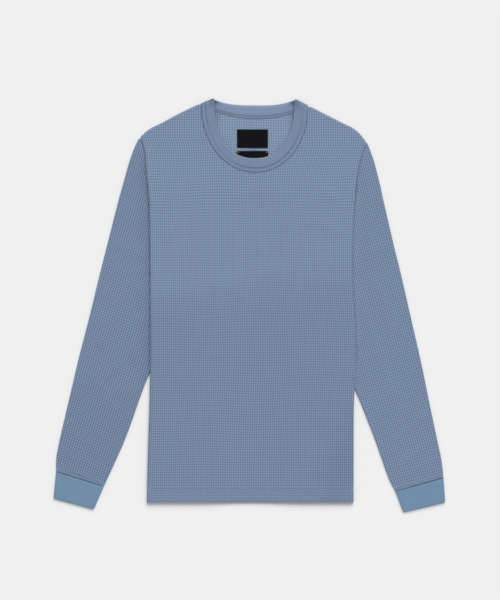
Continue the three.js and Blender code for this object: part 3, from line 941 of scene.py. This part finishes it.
    # Shoulders and neckline: the rounded edge all along the cut part
    numbers = [int(number[k]) for k in cut_part]
    t = ordered
    normal = left_normals(line) * -1
    out = along_line(normal, lengths, t)
    out = unit(out)
    begins, ends = (smooth_step(junction - 3, junction + 3, t) for junction in junctions[:2])
    fold_weight = 1 - begins * (1 - ends)
    cut_columns = edge_columns(numbers, out, fold_weight, quarter, np.array([0.0, 0.4]))
    rings = [numbers] + cut_columns
    skin.strips([[side_end["right"][k]] + rings[k] + [side_end["left"][k]] for k in range(arc_steps + 1)])

    # The hem's rounded edge, from flap to flap
    middle = [int(number[j]) for j in range(width)]
    hem = hem_line["left"][::-1] + middle + hem_line["right"]
    outer = np.array([skin.outer[n] for n in hem])
    twin = np.array([skin.twin[n] for n in hem])
    centre = (outer + twin) / 2
    hem_uv = np.array([skin.uv[n] for n in hem])
    previous = hem
    for k in (1, 2):
        angle = math.pi / 2 * k / 2
        shift = np.array([0.0, -math.sin(angle), 0.0])
        row = skin.add(centre + (outer - centre) * math.cos(angle) + shift * edge_inset,
                       centre + (twin - centre) * math.cos(angle) + shift * (edge_inset - 0.05),
                       hem_uv - np.array([0.0, 0.15 * k]))
        skin.strips([previous, row])
        previous = row
    return skin.build(name, material, waffle_inside, mirrored=not is_front)


neck_angles = np.linspace(90, -90, 181)
front_neck_line = np.array([front_neck("seam", front_neck_seam, a, seam_gap + 0.8) for a in neck_angles])
back_neck_shares = np.linspace(1, -1, 121)
back_neck_line = np.array([back_neck("seam", back_neck_seam, s, seam_gap + 0.8) for s in back_neck_shares])
front = build_panel("front_panel", waffle, front_neck_line, True, 40)
back = build_panel("back_panel", waffle, back_neck_line, False, 4, fine_window=(-90, 108, 236, 352))


# Sleeves

def moved_out(points, side, by):
    """Points of the body's outline, moved away from the body."""
    p = np.array(points, dtype=float)
    along = np.empty_like(p)
    along[1:-1] = p[2:] - p[:-2]
    along[0], along[-1] = p[1] - p[0], p[-1] - p[-2]
    along = unit(along)
    outward = np.column_stack([-along[:, 1], along[:, 0]])
    if side == "right":
        outward = -outward
    return p + outward * by


def sleeve_parts(side):
    """The edges of a sleeve in counterclockwise order, the folds moved in to the middle of their rounding."""
    lines = sleeve_lines[side]
    outline = body_left if side == "left" else body_right
    beside = moved_out(outline, side, seam_gap)[covered_section:tip_section + 1][::-1]
    armhole_points = [tuple(p) for p in beside] + lines["under"] + [lines["inner"][0]]
    seam_outer, seam_inner = (np.array(p) for p in cuff_corners[side][:2])
    along = unit(seam_inner - seam_outer)
    up = np.array([abs(along[1]), abs(along[0])])
    if side == "right":
        up[0] *= -1
    end_outer, end_inner = seam_outer + up * seam_gap, seam_inner + up * seam_gap
    outer = smooth_line([armhole_points[0]] + lines["outer"] + [tuple(end_outer)])
    inner = smooth_line(lines["inner"] + [tuple(end_inner)])
    armhole = smooth_line(armhole_points)
    cuff = dense_line([end_outer, end_inner])
    if side == "left":
        parts = [outer, cuff, inner[::-1], armhole[::-1]]
    else:
        parts = [inner, cuff[::-1], outer[::-1], armhole]
    reach = cloth + seam_gap / 2
    for k in (0, 2):
        parts[k] = extended(parts[k] + left_normals(parts[k]) * reach, 4)
    for k in range(4):
        after = (k + 1) % 4
        parts[k], parts[after] = joined(parts[k], parts[after])
    return parts


def build_sleeve(side):
    reach = cloth + seam_gap / 2
    parts = [dense_line(part, 0.8) for part in sleeve_parts(side)]
    line = np.vstack([part[:-1] for part in parts] + [parts[0][:1]])
    part_lengths = [np.linalg.norm(np.diff(part, axis=0), axis=1).sum() for part in parts]
    corner_t = np.concatenate([[0], np.cumsum(part_lengths)])
    width, height, column_turn, row_turn = sleeve_cells[side]
    column_turn, row_turn = math.radians(column_turn), math.radians(row_turn)
    # Half cells per millimetre along the picture's X and Y
    to_lattice = 2 * np.array([
        [math.cos(column_turn) / width, -math.sin(column_turn) / width],
        [math.sin(row_turn) / height, math.cos(row_turn) / height],
    ])
    from_lattice = np.linalg.inv(to_lattice)
    spots = line @ to_lattice.T
    low, high = np.floor(spots.min(axis=0)) - 2, np.ceil(spots.max(axis=0)) + 2
    grid = np.stack(np.meshgrid(np.arange(low[0], high[0] + 1), np.arange(low[1], high[1] + 1)), axis=-1)
    xy = grid @ from_lattice.T
    drift = 0.7 * np.sin(xy[..., 0] / 37 + xy[..., 1] / 60) + 0.4 * np.sin(xy[..., 0] / 19 - xy[..., 1] / 43)
    xy = xy + drift[..., None] * np.array([math.sin(row_turn), math.cos(row_turn)])
    flat, kept, moved, place, cells = cut_lattice(xy, line[:-1], line)
    loop = boundary_loop(cells)
    total = corner_t[-1]
    t = place[loop]
    start = int(np.argmin(np.minimum(t, total - t)))
    loop = loop[start:] + loop[:start]
    t = place[loop]
    count = len(loop)
    order = np.arange(count)
    t = np.where((order < count / 4) & (t > 0.75 * total), 0, t)
    t = np.where((order > count * 3 / 4) & (t < 0.25 * total), total, t)
    t[0] = 0
    t = np.maximum.accumulate(t)
    corners = [0] + [int(np.argmin(np.abs(t - corner_t[k]))) for k in (1, 2, 3)]
    for k in (1, 2, 3):
        t[corners[k]] = corner_t[k]
        t[:corners[k]] = np.minimum(t[:corners[k]], corner_t[k])
        t[corners[k] + 1:] = np.maximum(t[corners[k] + 1:], corner_t[k])
    flat[loop] = along_line(line, lengths_along(line), t)

    index = np.flatnonzero(kept)
    place_xy = flat[index]
    grid_rows, grid_columns = xy.shape[:2]
    lattice_i, lattice_j = index // grid_columns, index % grid_columns
    shift = place_xy - xy.reshape(-1, 2)[index]
    uv = (np.column_stack([lattice_j, lattice_i]) + shift @ to_lattice.T) / 2
    relief = waffle_relief(lattice_i, lattice_j, sleeve_dips)
    relief[moved[index]] = 0
    plain = 1 - smooth_step(6.4, 7.6, nearest_distance(place_xy, parts[1]))
    relief = relief * (1 - plain)
    crease = sleeve_wrinkles(side, place_xy[:, 0], place_xy[:, 1])
    beside_body = sleeve_rise(side, place_xy)
    thickness = 2 * reach
    dip = seam_groove(place_xy, [parts[1]], depth=0.5) + seam_groove(place_xy, [parts[3]], depth=0.2)
    edge = np.minimum(nearest_distance(place_xy, parts[0]), nearest_distance(place_xy, parts[2]))
    crease = (crease + beside_body) * smooth_step(0, 12, edge)

    def layer(z):
        return np.column_stack([place_xy, np.full(len(index), z)])

    top, top_twin = layer(thickness), layer(thickness - cloth)
    top[:, 2] += crease - dip
    top_twin[:, 2] += crease
    skin = Skin()
    size = grid_rows * grid_columns
    number_top = np.full(size, -1)
    number_bottom = np.full(size, -1)
    tone = sleeve_painted_shade(side, place_xy)
    number_top[index] = skin.add(top, top_twin, uv, relief, plain, tone)
    number_bottom[index] = skin.add(layer(0.0), layer(cloth), uv + 40, relief, plain, tone)
    skin.faces += [[int(number_top[k]) for k in cell] for cell in cells]
    skin.faces += [[int(number_bottom[k]) for k in reversed(cell)] for cell in cells]
    loop_set = set(loop)
    inner = [int(k) for k in index[~moved[index]]
             if (k // grid_columns) % 8 == 0 and (k % grid_columns) % 8 == 0 and k not in loop_set]
    lining = lining_faces(loop, inner, grid_columns)
    skin.lining += [[int(number_top[k]) for k in face] for face in lining]
    skin.lining += [[int(number_bottom[k]) for k in reversed(face)] for face in lining]
    arc = 6
    for k in (0, 2):
        first, last = corners[k], corners[k + 1] if k == 0 else corners[3]
        part_loop = loop[first:last + 1]
        part_t = t[first:last + 1] - corner_t[k]
        part = parts[k]
        part_len = lengths_along(part)
        out = -along_line(left_normals(part), part_len, part_t)
        out = unit(out)
        base = flat[part_loop]
        start_z = np.array([skin.outer[number_top[n]][2] for n in part_loop])
        base_uv = np.array([skin.uv[number_top[n]] for n in part_loop])
        uv_out = out @ to_lattice.T / 2
        rows_out = [[int(number_top[n]) for n in part_loop]]
        for step in range(1, arc):
            angle = math.pi * step / arc
            sine, cosine = math.sin(angle), math.cos(angle)
            above = np.where(cosine > 0, start_z - reach, reach)
            outer = np.column_stack([base + out * reach * sine, reach + above * cosine])
            twin_z = np.full(len(base), reach + (reach - cloth) * cosine)
            twin = np.column_stack([base + out * (reach - cloth) * sine, twin_z])
            edge_plain = [skin.plain[number_top[n]] for n in part_loop]
            edge_tone = [skin.tone[number_top[n]] for n in part_loop]
            ring_uv = base_uv + uv_out * reach * angle
            rows_out.append(skin.add(outer, twin, ring_uv, plain=edge_plain, tone=edge_tone))
        rows_out.append([int(number_bottom[n]) for n in part_loop])
        skin.strips(rows_out)
    return skin.build("sleeve_cloth_" + side, sleeve_waffle, waffle_inside)


def nearest_distance(points, line):
    return nearest_on_line(points, line[::6] if len(line) > 24 else line)[1]


def seam_groove(points, lines, depth=0.8, width=1.6):
    distance = np.min([nearest_distance(points, line) for line in lines], axis=0)
    return depth * np.exp(-(distance / width) ** 2)


# Soft ridges of the sleeves: both ends, half width and height
sleeve_creases = {
    "left": [
        (-196, 236, -212, 60, 9, 0.5), (-214, 40, -262, -60, 10, 0.45), (-188, 60, -232, -40, 9, 0.4),
        (-214, -40, -190, -110, 9, 0.4), (-300, -190, -262, -230, 9, 0.25), (-318, -222, -262, -262, 9, 0.3),
        (-322, -262, -258, -290, 8, 0.35), (-286, -120, -250, -160, 9, 0.25), (-238, 110, -196, 90, 9, 0.35),
    ],
    "right": [
        (206, 240, 214, 80, 9, 0.45), (216, 50, 256, -50, 10, 0.4), (196, 10, 226, -90, 9, 0.35),
        (222, -70, 252, -160, 9, 0.35), (300, -200, 262, -236, 8, 0.4), (318, -240, 266, -282, 8, 0.5),
        (324, -272, 272, -300, 7, 0.45), (244, 104, 206, 84, 9, 0.3),
    ],
}


def sleeve_wrinkles(side, x, y):
    return creases(x, y, sleeve_creases[side])


def sleeve_painted_shade(side, places):
    """Painted shade on the left sleeve: a little darker all over, more towards its cuff, and most beside the body, as
    the shadow of the body's edge.
    """
    if side == "right":
        return np.zeros(len(places))
    line = smooth_line(body_left)
    # beside_body is where the body's edge casts its painted shadow on the sleeve
    beside_body = np.exp(-nearest_distance(places, line) / 7) * (1 - smooth_step(240, 290, places[:, 1]))
    return -0.03 - 0.06 * smooth_step(60, -280, places[:, 1]) - 0.27 * beside_body


def sleeve_rise(side, places):
    """Beside the body the sleeve stands up a little, because its seam is folded in below."""
    outline = np.array(body_left if side == "left" else body_right, dtype=float)
    line = smooth_line(outline)
    away = nearest_distance(places, line)
    sign = -1 if side == "left" else 1
    edge_x = np.interp(places[:, 1], line[:, 1], line[:, 0])
    outside = (places[:, 0] - edge_x) * sign > 0
    height, reach = {"left": (3.0, 9.0), "right": (2.0, 5.0)}[side]
    rise = height * smooth_step(0.6, 2.4, away) * np.exp(-away / reach)
    fade = smooth_step(-118, -80, places[:, 1]) * (1 - smooth_step(240, 285, places[:, 1]))
    return np.where(outside, rise * fade, 0.0)


# Cuffs

def build_cuff(side):
    seam_outer, seam_inner, end_outer, end_inner = (np.array(p, dtype=float) for p in cuff_corners[side])
    columns, rows, arc = 44, 22, 6
    reach = cuff_wall + seam_gap / 2
    skin = Skin()
    rings = []
    length = np.linalg.norm(end_outer - seam_outer)
    edge = 0.9
    spots = [(0, 90), (0, 45), (0, 0)] + [(k / rows, 0) for k in range(1, rows)] + [(1, 0), (1, 45), (1, 90)]
    for u_index, (u, turn) in enumerate(spots):
        u_place = mix(edge / length, 1 - edge / length, u)
        direction = -1 if u_index < 3 else 1
        a, b = mix(seam_outer, end_outer, u_place), mix(seam_inner, end_inner, u_place)
        corner = np.clip((u_place - 0.93) / 0.07, 0, 1)
        inset = 2.2 * (1 - math.sqrt(1 - corner**2 * 0.98))
        span = np.linalg.norm(b - a)
        across = (b - a) / span
        down = unit(mix(end_outer - seam_outer, end_inner - seam_inner, 0.5))
        slide = down * edge * math.sin(math.radians(turn)) * direction
        flat_a, flat_b = a + across * (reach + inset), b - across * (reach + inset)
        squeeze = math.cos(math.radians(turn))
        outer, twin, uv = [], [], []

        def put(place, z, twin_place, twin_z, u_coord):
            middle = (z + twin_z) / 2
            outer.append((*(place + slide), middle + (z - middle) * squeeze))
            twin.append((*(twin_place + slide * 0.95), middle + (twin_z - middle) * squeeze))
            uv.append((u_coord, u_place * length / 3))

        for k in range(arc + 1):
            angle = math.pi * (k / arc - 0.5)
            put(flat_a - across * reach * math.cos(angle), reach + reach * math.sin(angle),
                flat_a - across * (reach - cuff_wall) * math.cos(angle), reach + (reach - cuff_wall) * math.sin(angle),
                reach * angle / 1.8)
        for k in range(1, columns):
            place = mix(flat_a, flat_b, k / columns)
            put(place, 2 * reach, place, 2 * reach - cuff_wall, (k / columns * 80) / 1.8)
        for k in range(arc + 1):
            angle = math.pi * (0.5 - k / arc)
            put(flat_b + across * reach * math.cos(angle), reach + reach * math.sin(angle),
                flat_b + across * (reach - cuff_wall) * math.cos(angle), reach + (reach - cuff_wall) * math.sin(angle),
                (80 + reach * (math.pi / 2 - angle)) / 1.8)
        for k in range(1, columns):
            place = mix(flat_b, flat_a, k / columns)
            put(place, 0.0, place, cuff_wall, (90 + k / columns * 80) / 1.8)
        row = skin.add(outer, twin, uv)
        rings.append(row + [row[0]])
    skin.strips(rings)
    return skin.build("cuff_rib_" + side, cuff_rib, mirrored=side == "right")


# Neckband

def band_stations():
    """Sections of the band all the way round: the seam, the edge, the height they start at and which way is out."""
    stations = []
    front_base, folded_base = cloth + air_gap, band_thickness + seam_gap
    for angle in np.linspace(90, -90, 170):
        base = mix(front_base, folded_base, float(smooth_step(60, 79, abs(angle))))
        stations.append((front_neck("seam", front_neck_seam, angle), front_neck("edge", front_neck_edge, angle),
                         base, np.array([0.0, 0.0, 1.0]), 0.0))

    def roll(side, backwards):
        fold = folds[side]
        count = 10
        for k in range(1, count):
            share = 1 - k / count if backwards else k / count
            angle = math.pi * (0.5 - share)
            out = fold["inward"] * -math.cos(angle)
            normal = np.array([out[0], out[1], math.sin(angle)])
            shift = out * seam_gap / 2
            z = band_thickness + seam_gap / 2 + seam_gap / 2 * normal[2]
            stations.append((fold["seam"] + shift, fold["edge"] + shift, z, normal, share))

    roll("left", False)
    for share in np.linspace(-1, 1, 96):
        stations.append((back_neck("seam", back_neck_seam, share), back_neck("edge", back_neck_edge, share),
                         band_thickness, np.array([0.0, 0.0, -1.0]), 1.0))
    roll("right", True)
    return stations


def band_profile(width, back_share):
    """Points round a section, as the place across from the seam and the height over the base."""
    strip = mix(band_strip, band_back_strip, back_share)
    inside_step, outside_step = band_step * back_share, band_step * (1 - back_share)
    across = np.array([0, 0.4, 1.2, 2.2, 3.2, 4.2, 5.2, 6.2, 6.8, 7.3, 7.9, 8.8, 10.2, 12.0, 13.6, 14.8, 15.6, 16.2])
    across = across * width / 17.3
    strip_end = 7 * width / 17.3
    past_strip = (across - strip_end) / (10.3 * width / 17.3)
    across = np.where(across < strip_end, across * strip / 7, mix(strip, width, past_strip))
    limit = width - 1.4
    top = []
    for a in across:
        step = 1 - float(smooth_step(strip - 1.0, strip + 2.2, a))
        height = band_thickness - 0.6 * outside_step * step - 0.3 * math.exp(-((a - strip) / 0.7) ** 2)
        if a > limit:
            height -= (band_thickness / 2) * (1 - math.sqrt(max(1 - ((a - limit) / 1.4) ** 2, 0)))
        top.append((a, height - 0.5 * math.exp(-(a / 0.6) ** 2)))
    bottom = []
    for a in across[::2]:
        step = 1 - float(smooth_step(strip - 0.2, strip + 0.9, a))
        height = inside_step * step
        if a > limit:
            height += (band_thickness / 2) * (1 - math.sqrt(max(1 - ((a - limit) / 1.4) ** 2, 0)))
        bottom.append((a, height))
    end = [(width - 0.25, band_thickness * 0.72), (width, band_thickness / 2), (width - 0.25, band_thickness * 0.28)]
    return bottom + end[::-1] + top[::-1]


def band_corner(place):
    """1 where the front's band comes down on the back's, at the two ends of the opening, and 0 away from there."""
    near = [np.linalg.norm(place - folds[side]["edge"]) for side in SIDES]
    return math.exp(-(min(near) / 11) ** 2)


def band_surface(station, along, outside):
    """A point on the band's outside or inside face, so far in from its seam, and the way out of the cloth."""
    seam, edge_point, base, normal, back_share = station
    seam3, edge3 = np.array([*seam, base]), np.array([*edge_point, base])
    width = np.linalg.norm(edge3 - seam3)
    profile = band_profile(width, back_share)
    half = len(profile) // 3
    face = profile[half:][::-1] if outside else profile[:half]
    height = np.interp(along, [a for a, _ in face], [h for _, h in face])
    return seam3 + (edge3 - seam3) / width * along + normal * height, normal if outside else -normal


def build_neckband():
    stations = band_stations()
    middle = np.array([(s[0] + s[1]) / 2 for s in stations])
    travel = lengths_along(middle)
    points, uv, faces, tones = [], [], [], []
    for (seam, edge_point, base, normal, back_share), length in zip(stations, travel):
        seam3, edge3 = np.array([*seam, base]), np.array([*edge_point, base])
        width = np.linalg.norm(edge3 - seam3)
        across = (edge3 - seam3) / width
        corner = band_corner(edge_point)
        raised = np.array([0, 0, 1.4 * corner]) if back_share == 0 else np.zeros(3)
        profile = band_profile(width, back_share)
        for k, (a, height) in enumerate(profile):
            points.append(seam3 + across * a + normal * height + raised * a / width)
            uv.append((length / 1.8, a / 3))
            is_inside = k < len(profile) // 3
            # Tones: painted shade where the front's band comes down on the back's, at the two ends of the opening;
            # past its strip the back band's inside is lighter
            if back_share == 1:
                past_strip = float(smooth_step(band_back_strip, band_back_strip + 4, a))
                tones.append((0.2 * past_strip * (1 - corner) - 0.85 * corner) * is_inside)
            else:
                tones.append(-0.25 * corner * float(smooth_step(14, 17, a)))
    ring = len(points) // len(stations)
    for i in range(len(stations)):
        after = (i + 1) % len(stations)
        for j in range(ring):
            beside = (j + 1) % ring
            faces.append([i * ring + j, after * ring + j, after * ring + beside, i * ring + beside])
    points = np.array(points)
    points[:, 2] = np.maximum(points[:, 2], 0)
    piece = mesh_object("neckband_rib", points, faces, rib, uv)
    attribute = piece.data.attributes.new("tone", "FLOAT", "POINT")
    attribute.data.foreach_set("value", np.array(tones, dtype=np.float32))
    return piece


# Labels

def build_label(name, box):
    left, right, bottom, top = box
    columns, rows = 54, 32
    skin = Skin()
    lines = []
    for i in range(rows + 1):
        share_y = i / rows
        outer, twin, uv = [], [], []
        for j in range(columns + 1):
            x = mix(left, right, j / columns)
            rag = 0.5 * math.sin(j * 1.9) + 0.35 * math.sin(j * 4.3) if i == 0 else 0.0
            y = mix(bottom, top, share_y) + rag
            z = float(back_underside(x, y)) + cloth + seam_gap
            curl = 0.25 * math.sin(x / 9 + 1) * (1 - share_y) + 0.15 * math.sin(y / 5)
            outer.append((x, y, z + label_thickness + max(curl, 0)))
            twin.append((x, y, z + max(curl, 0)))
            uv.append((x / 0.9, y / 0.9))
        lines.append(skin.add(outer, twin, uv))
    for first, second in zip(lines[:-1], lines[1:]):
        skin.strips([second, first])
    return skin.build(name, black_label)


# Sewing

def stitch_rows(name, paths, material, length=2.6, gap=0.7, radius=0.3):
    """Short arched stitches in one mesh. A path is its points and the way out of the cloth at each."""
    shares = np.array([0.0, 0.2, 0.5, 0.8, 1.0])
    arch = np.sin(np.pi * shares)
    turns = 2 * np.pi * np.arange(5) / 5
    points, faces = [], []
    for places, outs in paths:
        places, outs = np.asarray(places, dtype=float), np.asarray(outs, dtype=float)
        travel = lengths_along(places)
        count = int(travel[-1] / (length + gap))
        for k in range(count):
            at = (k * travel[-1] / count) + gap / 2 + length * shares
            middle = along_line(places, travel, at)
            out = along_line(outs, travel, at)
            along = unit(np.gradient(middle, axis=0))
            beside = unit(np.cross(along, out))
            middle = middle + out * (radius * (arch - 0.4))[:, None]
            thick = radius * (0.4 + 0.6 * arch)
            start = len(points)
            for centre, side_way, out_way, size in zip(middle, beside, out, thick):
                points.extend(centre + size * (math.cos(t) * side_way + math.sin(t) * out_way) for t in turns)
            for ring in range(4):
                for j in range(5):
                    a, b = start + ring * 5 + j, start + ring * 5 + (j + 1) % 5
                    faces.append([a, b, b + 5, a + 5])
            faces.append([start + j for j in range(4, -1, -1)])
            faces.append([start + 20 + j for j in range(5)])
    points = np.array(points)
    points[:, 2] = np.maximum(points[:, 2], 0)
    return mesh_object(name, points, faces, material)


def hem_row_paths(is_front):
    paths = []
    xs = np.arange(-174.0, 178.0, 1.0)
    for row in hem_stitch_rows:
        y = row + 0.25 * np.sin(xs / 9) + 0.15 * np.sin(xs / 4 + 1)
        if is_front:
            z = front_top(xs, y) + wrinkles(xs, y, True) - hem_groove(y) * 0.6
            out = (0, 0, 1)
        else:
            z = back_underside(xs, y) + wrinkles(xs, y, False) + hem_groove(y) * 0.6
            out = (0, 0, -1)
        paths.append((np.column_stack([xs, y, z]), np.tile(out, (len(xs), 1))))
        if is_front:
            for start, end in ((-174.0, flaps["left"][0] - 2), (flaps["right"][0] + 2, 178.0)):
                flap_x = np.arange(start, end, 1.0)
                flap_y = row + 0.2 * np.sin(flap_x / 8)
                flap_z = hem_groove(flap_y) * 0.6
                paths.append((np.column_stack([flap_x, flap_y, flap_z]), np.tile((0, 0, -1), (len(flap_x), 1))))
    return paths


def neck_row_paths():
    stations = band_stations()
    front_half = [s for s in stations if s[4] == 0]
    paths = []
    for along in (1.0, 6.3):
        spots = [band_surface(s, along, True) for s in front_half]
        paths.append(([p for p, _ in spots], [n for _, n in spots]))
    for part in ([s for s in stations if 0 < s[4] < 1][:9], [s for s in stations if s[4] == 1],
                 [s for s in stations if 0 < s[4] < 1][9:]):
        for along in (1.0, 4.0):
            spots = [band_surface(s, along, True) for s in part]
            paths.append(([p for p, _ in spots], [n for _, n in spots]))
    back_half = [s for s in stations if s[4] == 1]
    for along in (0.9, 3.9):
        spots = [band_surface(s, along, False) for s in back_half[2:-2]]
        paths.append(([p for p, _ in spots], [n for _, n in spots]))
    return paths


def cuff_row_paths(side):
    """Two rows over the strip where the sleeve is sewn to its cuff."""
    seam_outer, seam_inner = (np.array(p, dtype=float) for p in cuff_corners[side][:2])
    along = unit(seam_inner - seam_outer)
    up = np.array([-along[1], along[0]])
    if up[1] < 0:
        up = -up
    count = 1 + int(np.linalg.norm(seam_inner - seam_outer) - 2 * fold_reach)
    starts = seam_outer + along * (fold_reach + np.arange(count))[:, None]
    paths = []
    for above in (1.6, 6.6):
        places = starts + up * above
        nearest_cuff = seam_groove(places, [np.array([seam_outer, seam_inner])])
        z = 2 * cloth + seam_gap + sleeve_wrinkles(side, places[:, 0], places[:, 1]) - nearest_cuff
        paths.append((np.column_stack([places, z]), np.tile((0, 0, 1), (count, 1))))
    return paths


def tack_paths():
    """Three threads across each top corner of the size label."""
    paths = []
    for (x0, y0), (x1, y1) in (((-21.9, 270.7), (-17.6, 267.2)), ((32.6, 270.7), (27.2, 267.2))):
        for offset in (-0.55, 0.0, 0.55):
            along = np.array([x1 - x0, y1 - y0]) / math.hypot(x1 - x0, y1 - y0)
            beside = np.array([-along[1], along[0]]) * offset
            ends = np.array([[x0, y0], [x1, y1]]) + beside
            places = mix(ends[0], ends[1], np.linspace(0, 1, 9)[:, None])
            z = back_underside(places[:, 0], places[:, 1]) + cloth + seam_gap + label_thickness + 0.3
            paths.append((np.column_stack([places, z]), np.tile((0, 0, 1), (9, 1))))
    return paths


sleeve_pieces = {side: build_sleeve(side) for side in SIDES}
cuff_pieces = {side: build_cuff(side) for side in SIDES}
neckband = build_neckband()
neck_label = build_label("neck_label_cloth", neck_label_box)
size_label = build_label("size_label_cloth", size_label_box)


def outward_faces(piece):
    """Turn the faces out, by the sign of the volume."""
    mesh = piece.data
    mesh.calc_loop_triangles()
    corner = np.empty(len(mesh.loop_triangles) * 3, dtype=np.int32)
    mesh.loop_triangles.foreach_get("vertices", corner)
    place = np.empty(len(mesh.vertices) * 3, dtype=np.float32)
    mesh.vertices.foreach_get("co", place)
    a, b, c = place.reshape(-1, 3)[corner.reshape(-1, 3)].transpose(1, 0, 2).astype(float)
    if np.einsum("ij,ij->", a, np.cross(b, c)) < 0:
        mesh.flip_normals()


pieces = {
    "front": front, "back": back, "neckband": neckband, "neck_label": neck_label, "size_label": size_label,
    "sleeve_left": sleeve_pieces["left"], "sleeve_right": sleeve_pieces["right"],
    "cuff_left": cuff_pieces["left"], "cuff_right": cuff_pieces["right"],
}


# Floor
def build_floor():
    floor_look = Material("pale_floor", 1.0, specular=0.0)
    floor_look.shader.inputs["Base Color"].default_value = srgb(241, 241, 241)
    half, below = 3000, 0.3
    corners = [(x * half, y * half, -below) for x, y in ((-1, -1), (1, -1), (1, 1), (-1, 1))]
    floor = mesh_object("floor", corners, [[0, 1, 2, 3]], floor_look.made)


build_floor()

sewing = {
    "front_hem_stitches": (hem_row_paths(True), stitch_thread_painted_shade, "waffle"),
    "back_hem_stitches": (hem_row_paths(False), stitch_thread_painted_shade, "waffle"),
    "neck_stitches": (neck_row_paths(), neck_thread, "rib"),
    "cuff_stitches_left": (cuff_row_paths("left"), stitch_thread_painted_shade, "waffle"),
    "cuff_stitches_right": (cuff_row_paths("right"), stitch_thread_painted_shade, "waffle"),
}
sewn = {name: stitch_rows(name, paths, material) for name, (paths, material, _) in sewing.items()}
sewn["label_tacks"] = stitch_rows(
    "label_tacks", tack_paths(), orange_thread, length=4.2, gap=0.1, radius=0.32)
for name, rows_of_stitches in sewn.items():
    outward_faces(rows_of_stitches)
    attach(rows_of_stitches, "root")
    sewing[name][2] if name in sewing else "label"

for node, piece in pieces.items():
    outward_faces(piece)
    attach(piece, "root")
    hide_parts(node)


# Light and camera

def build_light():
    world = bpy.data.worlds.new("soft_room")
    world.use_nodes = True
    background = world.node_tree.nodes["Background"]
    background.inputs["Color"].default_value = (1.0, 1.0, 1.0, 1)
    background.inputs["Strength"].default_value = 0.5
    bpy.context.scene.world = world
    sun = bpy.data.lights.new("soft_key", "SUN")
    sun.energy = 2.3
    sun.angle = math.radians(45)
    lamp = bpy.data.objects.new("soft_key", sun)
    lamp.rotation_euler = Vector((-0.18, -0.70, -0.66)).to_track_quat("-Z", "Y").to_euler()
    bpy.context.collection.objects.link(lamp)


def build_camera():
    data = bpy.data.cameras.new("camera")
    camera = bpy.data.objects.new("camera", data)
    distance = 7.0
    data.sensor_width = 36
    data.sensor_height = 36
    data.sensor_fit = "VERTICAL"
    data.lens = 36 * distance / 1.056
    data.clip_end = 100
    camera.location = (0.00106, 0.00906, distance)
    bpy.context.collection.objects.link(camera)
    bpy.context.scene.camera = camera


build_light()
build_camera()
scene = bpy.context.scene
scene.view_settings.view_transform = "Standard"
scene.view_settings.look = "None"
